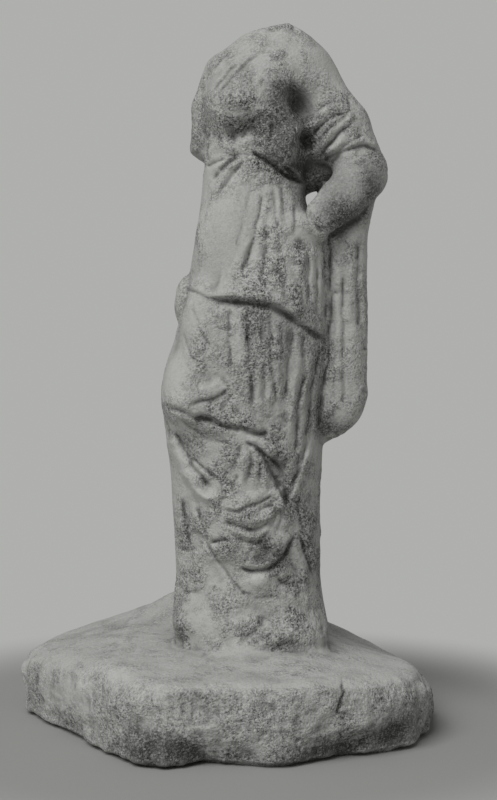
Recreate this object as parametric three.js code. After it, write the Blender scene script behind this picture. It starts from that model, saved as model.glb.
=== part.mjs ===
import * as THREE from 'three';

// A headless standing woman in a girdled dress, left hand on the hip, right arm broken off above
// the elbow, carved in one block with the rough base she stands on. Millimetres, +Z up, the origin
// under the middle of the base, the front of the base towards -Y.

const TOTAL_HEIGHT = 1000;        // underside of the base to the break at the neck
const PARTS = 695.8;              // the form is drawn in parts of the total height
const PART = TOTAL_HEIGHT / PARTS;
const BASE_TOP = 80;              // height of the block under the hem, in parts
const BASE_EDGE = 16;             // how softly its upper edge is worn
const NECK_BREAK = 696.4;         // height of the broken neck's ridge
const STEP = 4;                   // spacing of the net that the form is read on, in parts
const TRIANGLES = 9600;           // facets kept in the finished solid
const COLOUR = 0x8a8a86, ROUGHNESS = 0.88;

// ---- sections of the draped body and of the mantle's hanging end ----
// height, left edge, right edge, depth in front of the axis, depth behind it
const BODY = [
  [37.7, -73.1, 76.1, 60, 54], [82.3, -70, 77, 61, 54], [100.5, -75.5, 79, 65, 56], [120.7, -74.9, 75.4, 63, 56],
  [141, -73.4, 72.9, 61, 55], [181.3, -74.3, 72.3, 60, 55], [221.6, -76.2, 71.7, 62, 56],
  [261.8, -79.2, 73.2, 65, 56], [302, -84.1, 74.6, 69, 57], [322, -86.6, 75.6, 71, 58], [342, -85.5, 77.5, 71, 60],
  [362, -81, 79.5, 70, 62], [382, -73.9, 80.4, 69, 63], [402, -68.9, 81.4, 68, 65], [421.9, -62.9, 82.4, 67, 66],
  [441.8, -58.9, 82.3, 66, 66], [461.7, -56.3, 82.3, 64, 64], [481.6, -52.8, 81.2, 61, 61],
  [497.5, -50.1, 76.2, 58.5, 58.5], [509.4, -48.8, 62.3, 56, 56], [521.3, -47.3, 57.8, 54, 54],
  [531.2, -46.3, 57.2, 52, 52], [546.1, -45.3, 56.7, 50, 50], [560.9, -44.8, 57.2, 50, 50],
  [580.7, -44.2, 60.2, 51, 51], [600.5, -44.2, 62.1, 52, 52], [620.2, -44.2, 64.1, 50, 52],
  [639.9, -42.2, 67, 44, 48], [654.7, -36.2, 69, 37, 43], [667.5, -26.3, 69, 29, 37], [679.3, -12.4, 64, 21, 30],
  [687.2, -0.5, 57, 15, 24], [694.1, 15.4, 51.1, 9, 16], [699, 25.3, 47.1, 5, 10],
];
const MANTLE = [
  [275.9, 63.6, 69.6, 8, 4], [280.9, 61.6, 78.6, 20, 9], [286.9, 59.6, 90.6, 26, 12], [297, 57.6, 104.6, 30, 15],
  [307, 57.6, 112.6, 33, 17], [317, 59.5, 116.6, 34, 18], [327, 61.5, 119.1, 34, 19], [342, 63.5, 117.5, 33, 19],
  [362, 67.5, 117.5, 33, 19], [382, 69.4, 118.4, 33, 19], [421.9, 71.4, 118.3, 33, 19], [461.7, 71.3, 117.7, 34, 20],
  [486.6, 69.3, 118.6, 34, 21], [506.4, 67.2, 122, 33, 22], [521.3, 67.2, 125, 28, 22], [535.2, 71.2, 122.9, 16, 16],
];
// ---- the main folds, drawn on the front elevation: kind, half width, depth, line [x, z], reach of a hem ----
const FOLDS = [
  ['groove', 8, 4.6, [[17, 598], [7, 591], [-3, 585], [-15, 579], [-25, 576]], 18],
  ['hem', 1.6, 5.5, [[2, 564], [8, 561], [19, 555], [27, 550], [34, 545], [44, 540], [55, 537]], 16],
  ['ridge', 6, 2.6, [[19, 568], [32, 559], [42, 551]], 18],
  ['groove', 1.3, 3.2, [[58, 577], [69, 588], [80, 597], [94, 604]], 18],
  ['groove', 1.4, 3.4, [[66, 558], [80, 572], [88, 582], [98, 591]], 18],
  ['groove', 1.4, 3.6, [[72, 556], [86, 563], [97, 572], [106, 578], [114, 582]], 18],
  ['hem', 1.5, 3.6, [[78, 556], [86, 562], [93, 566], [102, 570], [114, 572], [126, 569]], 9],
  ['groove', 5, 5, [[51, 587], [58, 575], [65, 565]], 18],
  ['groove', 3.4, 4.6, [[55, 566], [60, 577], [67, 587], [73, 593]], 18],
  ['groove', 1.2, 3.4, [[79, 488], [80, 458], [81, 429], [80, 403], [80, 389], [78, 362], [74, 341], [71, 323], [69, 293]], 18],
  ['hem', 1.1, 3, [[-61, 435], [-51, 430], [-40, 425], [-27, 422], [-14, 420]], 14],
  ['hem', 1.5, 4.8, [[-33, 423], [-18, 420], [-2, 419], [11, 417], [24, 415], [36, 409], [48, 401]], 17],
  ['hem', 1.1, 4, [[32, 411], [47, 402], [58, 394], [71, 388], [80, 388]], 13],
  ['hem', 1.4, 4, [[-81, 319], [-71, 318], [-62, 315], [-53, 312], [-45, 309], [-34, 305], [-21, 300], [-6, 299], [-1, 297], [9, 293], [21, 294]], 12],
  ['groove', 2.2, 2.6, [[-50, 311], [-39, 307], [-31, 305]], 18],
  ['groove', 2.2, 2.6, [[-23, 301], [-14, 299], [-5, 299]], 18],
  ['ridge', 4, 3, [[-77, 312], [-60, 307], [-43, 300], [-23, 294], [-10, 290]], 18],
  ['hem', 1.4, 4.5, [[-3, 287], [9, 278], [20, 271], [33, 261]], 9],
  ['ridge', 5, 4.6, [[-79, 291], [-71, 274], [-61, 255], [-51, 240], [-39, 231], [-22, 231]], 18],
  ['hem', 1.4, 4.4, [[37, 219], [33, 227], [29, 236], [24, 249], [18, 261], [12, 272], [2, 283]], 9],
  ['groove', 4.4, 5.4, [[19, 270], [26, 262], [32, 250], [36, 235]], 18],
  ['groove', 2.8, 4.2, [[14, 271], [19, 260], [25, 248], [31, 235]], 18],
  ['groove', 2.4, 6.5, [[33, 241], [37, 231], [38, 221]], 18],
  ['groove', 1.5, 3.4, [[51, 275], [48, 260], [43, 243], [38, 227]], 18],
  ['ridge', 3.4, 3.2, [[61, 279], [53, 260], [46, 240], [39, 220]], 18],
  ['hem', 1.7, 5.4, [[-7, 165], [1, 161], [13, 163], [24, 166], [31, 172], [37, 181], [43, 196]], 14],
  ['hem', 1.2, 2.8, [[8, 135], [-1, 137], [-7, 140], [-15, 147], [-25, 159], [-34, 174], [-43, 189]], 15],
  ['ridge', 6, 2.8, [[0, 149], [11, 152], [23, 155]], 18],
  ['ridge', 3.2, 3.2, [[42, 190], [47, 176], [54, 161], [62, 144]], 18],
  ['groove', 4.6, 3.4, [[-67, 106], [-67, 95], [-65, 85]], 18],
  ['groove', 4.2, 2.8, [[31, 120], [18, 114], [2, 102], [-10, 89]], 18],
  ['groove', 2.4, 4.6, [[71, 483], [80, 483], [92, 490], [103, 497], [112, 506], [119, 514]], 18],
];
// outline of the block seen from above, at half height and at its underside
const PLAN = [
  [-231, 55], [-214, 5], [-188, -42], [-157, -94], [-125, -139], [-101, -165], [-74, -177], [-40, -175], [0, -178],
  [36, -174], [64, -162], [92, -151], [120, -139], [148, -116], [168, -80], [182, -36], [192, 18], [187, 80],
  [140, 150], [60, 194], [-40, 206], [-120, 199], [-180, 153], [-217, 106],
];
const FOOT = [
  [-228, 62], [-224, 25], [-203, -16], [-177, -54], [-147, -104], [-117, -149], [-97, -174], [-76, -181], [-62, -175],
  [-41, -161], [-14, -169], [19, -178], [37, -175], [60, -158], [84, -140], [109, -134], [134, -125], [154, -104],
  [174, -54], [187, 4], [184, 80], [138, 148], [60, 192], [-40, 203], [-120, 196], [-178, 151], [-214, 108],
];

// ---- small mathematics ----
const clamp = (v, a, b) => Math.min(b, Math.max(a, v));
const soft = (a, b, v) => { const t = clamp((v - a) / (b - a), 0, 1); return t * t * (3 - 2 * t); };
const join = (a, b, k) => { const h = Math.max(k - Math.abs(a - b), 0) / k; return Math.min(a, b) - h * h * k * 0.25; };
const meet = (a, b, k) => -join(-a, -b, k);
const gauss = (v) => Math.exp(-v * v);

// smooth reading of a table of sections at a height
function section(rows, z) {
  z = clamp(z, rows[0][0], rows[rows.length - 1][0]);
  let i = 0;
  while (i < rows.length - 2 && rows[i + 1][0] <= z) i++;
  const h = rows[i + 1][0] - rows[i][0], t = (z - rows[i][0]) / h;
  const slope = (j, c) => {
    if (j === 0) return (rows[1][c] - rows[0][c]) / (rows[1][0] - rows[0][0]);
    if (j === rows.length - 1) return (rows[j][c] - rows[j - 1][c]) / (rows[j][0] - rows[j - 1][0]);
    const hd = rows[j + 1][0] - rows[j][0], hs = rows[j][0] - rows[j - 1][0];
    return (hs * hs * rows[j + 1][c] + (hd * hd - hs * hs) * rows[j][c] - hd * hd * rows[j - 1][c]) / (hs * hd * (hd + hs));
  };
  const out = [];
  for (let c = 1; c < rows[0].length; c++) {
    out.push((2 * t ** 3 - 3 * t ** 2 + 1) * rows[i][c] + (t ** 3 - 2 * t ** 2 + t) * slope(i, c) * h
      + (-2 * t ** 3 + 3 * t ** 2) * rows[i + 1][c] + (t ** 3 - t ** 2) * slope(i + 1, c) * h);
  }
  return out;
}

// distance-like value of a rounded section: negative inside
function loft([xl, xr, front, back], x, y, power) {
  const dx = x - (xl + xr) / 2, a = (xr - xl) / 2;
  const b = front + (back - front) * soft(-0.25, 0.25, y / front);
  const s = Math.pow(Math.pow(Math.abs(dx) / a, power) + Math.pow(Math.abs(y) / b, power), 1 / power) + 1e-6;
  const rho = Math.hypot(dx, y);
  return rho - rho / s;
}

function egg(x, y, z, c, r, tilt) {
  let dx = x - c[0], dz = z - c[2];
  const dy = y - c[1];
  if (tilt) {
    const ca = Math.cos(tilt * Math.PI / 180), sa = Math.sin(tilt * Math.PI / 180);
    [dx, dz] = [dx * ca + dz * sa, -dx * sa + dz * ca];
  }
  const k0 = Math.hypot(dx / r[0], dy / r[1], dz / r[2]) + 1e-6;
  const k1 = Math.hypot(dx / r[0] ** 2, dy / r[1] ** 2, dz / r[2] ** 2) + 1e-6;
  return k0 * (k0 - 1) / k1;
}

function limb(x, y, z, a, b, ra, rb) {
  const d = [b[0] - a[0], b[1] - a[1], b[2] - a[2]];
  const t = clamp(((x - a[0]) * d[0] + (y - a[1]) * d[1] + (z - a[2]) * d[2]) / (d[0] * d[0] + d[1] * d[1] + d[2] * d[2]), 0, 1);
  return Math.hypot(x - a[0] - t * d[0], y - a[1] - t * d[1], z - a[2] - t * d[2]) - (ra + t * (rb - ra));
}

// ---- masses added to the sections ----
const MASSES = [
  { name: 'right upper arm, broken off', kind: 'limb', from: [-25.4, 4, 647.6], to: [-37.9, 6, 611.3], ra: 18.8, rb: 18, blend: 10 },
  { name: 'right upper arm, broken off', kind: 'limb', from: [-37.9, 6, 611.3], to: [-42, 9, 577], ra: 18, rb: 15.5, blend: 6 },
  { name: 'worn chest', kind: 'egg', at: [-14, -38, 611.2], r: [26, 22, 26], tilt: -8, blend: 16 },
  { name: 'worn chest', kind: 'egg', at: [18.9, -33, 614.9], r: [19, 22, 34], tilt: 0, blend: 15 },
  { name: 'worn chest', kind: 'egg', at: [32.6, -34, 574.2], r: [22, 24, 21], tilt: -20, blend: 10 },
  { name: 'left arm', kind: 'limb', from: [49.1, 0, 651.8], to: [66.4, -3, 632.5], ra: 23.5, rb: 25.2, blend: 12 },
  { name: 'left arm', kind: 'limb', from: [66.4, -3, 632.5], to: [91.3, -10, 591.1], ra: 24.6, rb: 28.4, blend: 8 },
  { name: 'left arm', kind: 'limb', from: [91.3, -10, 591.1], to: [108.8, -15, 552.2], ra: 28, rb: 25.5, blend: 6 },
  { name: 'sleeve', kind: 'egg', at: [75.4, -14, 582.7], r: [30, 24, 24], tilt: 38, blend: 10 },
  { name: 'left forearm', kind: 'limb', from: [111.1, -18, 543.1], to: [91.5, -34, 517.1], ra: 25.5, rb: 21.6, blend: 5 },
  { name: 'left forearm', kind: 'limb', from: [91.5, -34, 517.1], to: [74.5, -44, 497.3], ra: 21.6, rb: 16, blend: 6 },
  { name: 'left forearm', kind: 'limb', from: [82.3, -33, 523.5], to: [64.4, -42, 508.1], ra: 12, rb: 8, blend: 4 },
  { name: 'left hand, worn away', kind: 'egg', at: [69.3, -40, 495.2], r: [17, 16, 16], tilt: 40, blend: 8 },
  { name: 'cloth behind the left arm', kind: 'limb', from: [51.3, 4, 601.1], to: [65.5, 8, 555.9], ra: 20, rb: 18, blend: 8 },
  { name: 'cloth behind the left arm', kind: 'limb', from: [53.5, 8, 549], to: [77.3, 4, 552.5], ra: 23, rb: 16, blend: 3 },
  { name: 'hanging end of the mantle', kind: 'mantle', blend: 5 },
  { name: 'hollow under the left shoulder', kind: 'hollow', at: [49.4, -52, 611.8], r: [12.5, 36, 20], tilt: 24, blend: 8 },
  { name: 'hollow between chest and sleeve', kind: 'hollow', at: [55.7, -52, 571.7], r: [8.5, 28, 15], tilt: 14, blend: 7 },
  { name: 'hollow under the sleeve', kind: 'hollow', at: [58.1, -52, 546.9], r: [16, 34, 14], tilt: -22, blend: 8 },
  { name: 'hollow under the chest', kind: 'hollow', at: [42.8, -50, 543.3], r: [16, 22, 6.5], tilt: -30, blend: 5 },
  { name: 'rest of the right hand', kind: 'egg', at: [-60.9, 0, 420.9], r: [13, 17, 26], tilt: -8, blend: 4 },
  { name: 'bent knee', kind: 'egg', at: [-56.9, -42, 329.4], r: [26, 32, 38], tilt: 0, blend: 16 },
  { name: 'thigh', kind: 'egg', at: [-37.4, -42, 377], r: [26, 26, 52], tilt: 10, blend: 12 },
  { name: 'belly', kind: 'egg', at: [-14.6, -33, 479.3], r: [33, 28, 46], tilt: 0, blend: 18 },
  { name: 'bunched cloth at the shins', kind: 'egg', at: [-4.4, -46, 206.9], r: [38, 24, 44], tilt: 14, blend: 14 },
  { name: 'feet under the hem', kind: 'egg', at: [13.3, -34, 92.9], r: [64, 44, 24], tilt: 0, blend: 14 },
  { name: 'feet under the hem', kind: 'egg', at: [-38.9, -32, 94.5], r: [31, 33, 26], tilt: 0, blend: 18 },
  { name: 'cloth in front of the feet', kind: 'egg', at: [-27.9, -43, 102.5], r: [36, 22, 24], tilt: 0, blend: 22 },
  { name: 'light lens below the bunch', kind: 'egg', at: [9.2, -50, 148.8], r: [19, 14, 13], tilt: 10, blend: 8 },
  { name: 'left shoulder', kind: 'egg', at: [54.1, 0, 649.8], r: [30, 32, 27], tilt: 0, blend: 10 },
];

// ---- folds: one map of depths on the front elevation ----
const MAP = { x0: -124, z0: 40, nx: 272, nz: 670 };
const folds = new Float32Array(MAP.nx * MAP.nz);
function spline(points) {
  if (points.length === 2) return Array.from({ length: 13 }, (_, i) => [0, 1].map((c) => points[0][c] + (points[1][c] - points[0][c]) * i / 12));
  const first = points[0], last = points[points.length - 1];
  const q = [[2 * first[0] - points[1][0], 2 * first[1] - points[1][1]], ...points,
    [2 * last[0] - points[points.length - 2][0], 2 * last[1] - points[points.length - 2][1]]];
  const out = [];
  for (let i = 1; i < q.length - 2; i++) {
    for (let k = 0; k < 8; k++) {
      const t = k / 8;
      out.push([0, 1].map((c) => 0.5 * (2 * q[i][c] + (q[i + 1][c] - q[i - 1][c]) * t
        + (2 * q[i - 1][c] - 5 * q[i][c] + 4 * q[i + 1][c] - q[i + 2][c]) * t * t
        + (3 * q[i][c] - q[i - 1][c] - 3 * q[i + 1][c] + q[i + 2][c]) * t * t * t)));
    }
  }
  out.push(last);
  return out;
}
for (const [kind, w0, depth, points, wide] of FOLDS) {
  const line = spline(points), w = Math.max(w0, kind === 'hem' ? 2.2 : 3.0), reach = kind === 'hem' ? 2 * wide : 3.2 * w;
  const lengths = [0];
  for (let i = 1; i < line.length; i++) lengths.push(lengths[i - 1] + Math.hypot(line[i][0] - line[i - 1][0], line[i][1] - line[i - 1][1]));
  const total = lengths[lengths.length - 1];
  const xs = line.map((p) => p[0]), zs = line.map((p) => p[1]);
  for (let ix = Math.max(0, Math.floor(Math.min(...xs) - reach - MAP.x0)); ix < Math.min(MAP.nx, Math.max(...xs) + reach - MAP.x0); ix++) {
    for (let iz = Math.max(0, Math.floor(Math.min(...zs) - reach - MAP.z0)); iz < Math.min(MAP.nz, Math.max(...zs) + reach - MAP.z0); iz++) {
      const x = ix + MAP.x0, z = iz + MAP.z0;
      let best = 1e9, side = 1, along = 0;
      for (let k = 0; k + 1 < line.length; k++) {
        const ex = line[k + 1][0] - line[k][0], ez = line[k + 1][1] - line[k][1];
        const wx = x - line[k][0], wz = z - line[k][1];
        const t = clamp((wx * ex + wz * ez) / (ex * ex + ez * ez + 1e-9), 0, 1);
        const dd = (wx - t * ex) ** 2 + (wz - t * ez) ** 2;
        if (dd < best) { best = dd; side = ex * wz - ez * wx; along = (lengths[k] + t * (lengths[k + 1] - lengths[k])) / total; }
      }
      const r = Math.sqrt(best);
      if (r > reach) continue;
      const ends = soft(0, 0.18, along) * soft(0, 0.18, 1 - along);
      let v;
      if (kind === 'groove') v = -depth * gauss(r / w);
      else if (kind === 'ridge') v = depth * gauss(r / w);
      else {
        const s = side >= 0 ? r : -r;
        v = depth / (1 + Math.exp(clamp(-s / w * 2.2, -30, 30))) * gauss(Math.max(s, 0) / wide) - 0.6 * depth * gauss((s + w * 1.1) / (w * 1.4));
      }
      folds[ix * MAP.nz + iz] += v * ends;
    }
  }
}
function foldAt(x, z) {
  const u = clamp(x - MAP.x0, 0, MAP.nx - 1.001), v = clamp(z - MAP.z0, 0, MAP.nz - 1.001);
  const i = Math.floor(u), j = Math.floor(v), a = u - i, b = v - j, k = i * MAP.nz + j;
  return (folds[k] * (1 - a) + folds[k + MAP.nz] * a) * (1 - b) + (folds[k + 1] * (1 - a) + folds[k + MAP.nz + 1] * a) * b;
}

// ---- the rough block ----
function outline(x, y, table) {
  let d = 1e9, sign = 1;
  for (let i = 0; i < table.length; i++) {
    const a = table[i], b = table[(i + 1) % table.length], ex = b[0] - a[0], ey = b[1] - a[1], wx = x - a[0], wy = y - a[1];
    const t = clamp((wx * ex + wy * ey) / (ex * ex + ey * ey), 0, 1);
    d = Math.min(d, (wx - t * ex) ** 2 + (wy - t * ey) ** 2);
    const c1 = y >= a[1], c2 = y < b[1], c3 = ex * wy > ey * wx;
    if ((c1 && c2 && c3) || (!c1 && !c2 && !c3)) sign = -sign;
  }
  return sign * Math.sqrt(d);
}
function topOfBlock(x, y) {
  const right = Math.max(x - 58, 0);
  return BASE_TOP - 1 - 0.15 * Math.max(-x - 125, 0) - right * (0.13 + 0.23 * soft(-60, 110, y)) - 0.022 * Math.max(x - 152, 0) ** 2
    + 8 * Math.exp(-((x + 10) ** 2 / 95 ** 2 + (y - 20) ** 2 / 90 ** 2)) - 5 * soft(-80, -165, y)
    + 30 * Math.exp(-((x + 66) ** 2 / 46 ** 2 + (y - 135) ** 2 / 60 ** 2));       // the mound behind the figure
}
// slow unevenness of a hammered face
function rough(x, y, z) {
  return 1.6 * Math.sin(x * 0.061 + 1.3 * Math.sin(y * 0.043 + z * 0.05)) * Math.sin(y * 0.057 + 0.9 * Math.sin(z * 0.071 - x * 0.03) + 1.1)
    + 1.1 * Math.sin(x * 0.113 + z * 0.09 + 2.0) * Math.sin(y * 0.121 - z * 0.08 + 0.7);
}

// ---- the whole form: below zero inside ----
function figure(x, y, z, body, mantle) {
  let f = loft(body, x, y, 2.25);
  for (const m of MASSES) {
    if (m.kind === 'egg') f = join(f, egg(x, y, z, m.at, m.r, m.tilt), m.blend);
    else if (m.kind === 'limb') f = join(f, limb(x, y, z, m.from, m.to, m.ra, m.rb), m.blend);
    else if (m.kind === 'hollow') f = meet(f, -egg(x, y, z, m.at, m.r, m.tilt), m.blend);
    else f = join(f, meet(meet(loft(mantle, x, y, 3.2), 272 - z, 4), z - 540, 4), m.blend);
  }
  // the break at the neck, two slopes with a ridge
  f = meet(f, z - Math.min(NECK_BREAK + 0.26 * (x - 40), NECK_BREAK - 0.62 * (x - 40)), 3);
  const middle = x > 82 && z < 512 ? -4 : -6;
  return f - foldAt(x, z) * soft(0, 20, -y + middle + 4) - roundTheBack(x, y, z);
}
// plainer folds round the sides and the back
function roundTheBack(x, y, z) {
  if (y < -22) return 0;
  const turn = Math.atan2(x, y);                     // 0 at the back
  const side = soft(-22, 8, y) * soft(92, 130, z) * (1 - soft(78, 92, x));
  const wave = Math.cos(turn * 9 + 0.006 * z + 1.2 * Math.sin(z * 0.011 + turn * 2));
  const pleat = (1 - Math.abs(wave)) ** 1.7 * 4.4 * (1 - soft(380, 440, z)) * (0.55 + 0.45 * Math.sin(turn * 3.1 + 1));
  const above = z - (410 - x * 0.32 + 4 * Math.sin(turn * 5));
  const hem = 3.6 * soft(-1.5, 1.5, above) * gauss(Math.max(above, 0) / 22) - 2.4 * gauss((above + 3) / 4);
  const lump = 1 - gauss((x + 64) / 18) * gauss((z - 424) / 30);       // the hem ends at the remains of the right hand
  const girdle = 2.2 * gauss((z - 566 + 0.06 * x) / 6) - 2.6 * gauss((z - 553 + 0.06 * x) / 5);
  return (hem * lump + girdle - pleat) * side;
}
function block(x, y, z, plan, foot) {
  const high = soft(0.04, 0.42, z / BASE_TOP);
  const edge = BASE_EDGE + 9 * soft(-60, -150, x) + 8 * soft(80, 150, x);              // softer towards the ends
  return meet(plan * high + foot * (1 - high) - 4 * high * (1 - soft(0.55, 1.05, z / BASE_TOP)) - 2 * (1 - high), z - topOfBlock(x, y), edge);
}

// ---- the net: one vertex in each cell that the surface crosses ----
function net() {
  const [x0, y0, z0] = [-240, -192, -STEP / 2], nx = Math.ceil(450 / STEP), ny = Math.ceil(414 / STEP), nz = Math.ceil(716 / STEP);
  const F = new Float64Array(nx * ny * nz).fill(30), at = (i, j, k) => (i * ny + j) * nz + k;
  const levels = Array.from({ length: nz }, (_, k) => [section(BODY, z0 + k * STEP), section(MANTLE, z0 + k * STEP)]);
  for (let i = 0; i < nx; i++) {
    const x = x0 + i * STEP;
    for (let j = 0; j < ny; j++) {
      const y = y0 + j * STEP, plan = outline(x, y, PLAN), foot = outline(x, y, FOOT), near = x > -122 && x < 152 && y > -116 && y < 96;
      for (let k = 0; k < nz; k++) {
        const z = z0 + k * STEP;
        let f = 30;
        if (near && z > 38) f = Math.min(30, figure(x, y, z, ...levels[k]));
        if (z < 124 && plan < 40) f = join(f, block(x, y, z, plan, foot), 8 + (20 * gauss((x + 12) / 40) + 14 * gauss((x - 70) / 16)) * soft(0, 20, -y));
        f += 0.55 * rough(x, y, z) * (z < 90 ? 1.6 : 0.5) * soft(0, 12, z);
        F[at(i, j, k)] = Math.max(f, -z);
      }
    }
  }
  // close every pinched place, so that each edge has two faces and each vertex one fan
  for (let pass = 0, changed = 1; pass < 12 && changed; pass++) {
    changed = 0;
    const X = ny * nz, Y = nz, Z = 1, offset = [0, X, Y, X + Y, Z, X + Z, Y + Z, X + Y + Z];
    const fill = (n) => { if (F[n] >= 0) { F[n] = -0.05; changed++; } };
    for (let i = 0; i + 1 < nx; i++) for (let j = 0; j + 1 < ny; j++) for (let k = 0; k + 1 < nz; k++) {
      const n = at(i, j, k);
      for (const [A, B] of [[X, Y], [X, Z], [Y, Z]]) {
        const a = F[n] < 0, b = F[n + A] < 0, c = F[n + B] < 0, d = F[n + A + B] < 0;
        if (a === d && b === c && a !== b) { if (a) fill(n + A); else fill(n); }
      }
      const s = offset.map((o) => F[n + o] < 0), count = s.filter(Boolean).length;
      for (let c = 0; c < 4; c++) {
        if (count === 2 && s[c] && s[7 - c]) { fill(n + offset[c ^ 1]); fill(n + offset[c ^ 3]); }
        if (count === 6 && !s[c] && !s[7 - c]) fill(n + offset[c]);
      }
    }
  }
  const id = new Int32Array(nx * ny * nz).fill(-1), pos = [];
  const corner = [[0, 0, 0], [1, 0, 0], [0, 1, 0], [1, 1, 0], [0, 0, 1], [1, 0, 1], [0, 1, 1], [1, 1, 1]];
  const edges = [[0, 1], [2, 3], [4, 5], [6, 7], [0, 2], [1, 3], [4, 6], [5, 7], [0, 4], [1, 5], [2, 6], [3, 7]];
  for (let i = 0; i + 1 < nx; i++) for (let j = 0; j + 1 < ny; j++) for (let k = 0; k + 1 < nz; k++) {
    const v = corner.map(([a, b, c]) => F[at(i + a, j + b, k + c)]);
    let n = 0, sx = 0, sy = 0, sz = 0;
    for (const [a, b] of edges) {
      if ((v[a] < 0) === (v[b] < 0)) continue;
      const t = v[a] / (v[a] - v[b]);
      sx += corner[a][0] + t * (corner[b][0] - corner[a][0]);
      sy += corner[a][1] + t * (corner[b][1] - corner[a][1]);
      sz += corner[a][2] + t * (corner[b][2] - corner[a][2]);
      n++;
    }
    if (!n) continue;
    id[at(i, j, k)] = pos.length / 3;
    pos.push(x0 + (i + sx / n) * STEP, y0 + (j + sy / n) * STEP, z0 + (k + sz / n) * STEP);
  }
  const tri = [];
  const quad = (a, b, c, d, flip) => {
    if (flip) [b, d] = [d, b];
    const dist = (p, q) => Math.hypot(pos[3 * p] - pos[3 * q], pos[3 * p + 1] - pos[3 * q + 1], pos[3 * p + 2] - pos[3 * q + 2]);
    if (dist(a, c) <= dist(b, d)) tri.push(a, b, c, a, c, d); else tri.push(a, b, d, b, c, d);
  };
  for (let i = 1; i + 1 < nx; i++) for (let j = 1; j + 1 < ny; j++) for (let k = 0; k + 1 < nz; k++) {
    const s = F[at(i, j, k)] < 0;
    if (k > 0 && s !== F[at(i + 1, j, k)] < 0) quad(id[at(i, j - 1, k - 1)], id[at(i, j, k - 1)], id[at(i, j, k)], id[at(i, j - 1, k)], !s);
    if (k > 0 && s !== F[at(i, j + 1, k)] < 0) quad(id[at(i - 1, j, k - 1)], id[at(i, j, k - 1)], id[at(i, j, k)], id[at(i - 1, j, k)], s);
    if (s !== F[at(i, j, k + 1)] < 0) quad(id[at(i - 1, j - 1, k)], id[at(i, j - 1, k)], id[at(i, j, k)], id[at(i - 1, j, k)], !s);
  }
  return { pos, tri };
}

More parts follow.
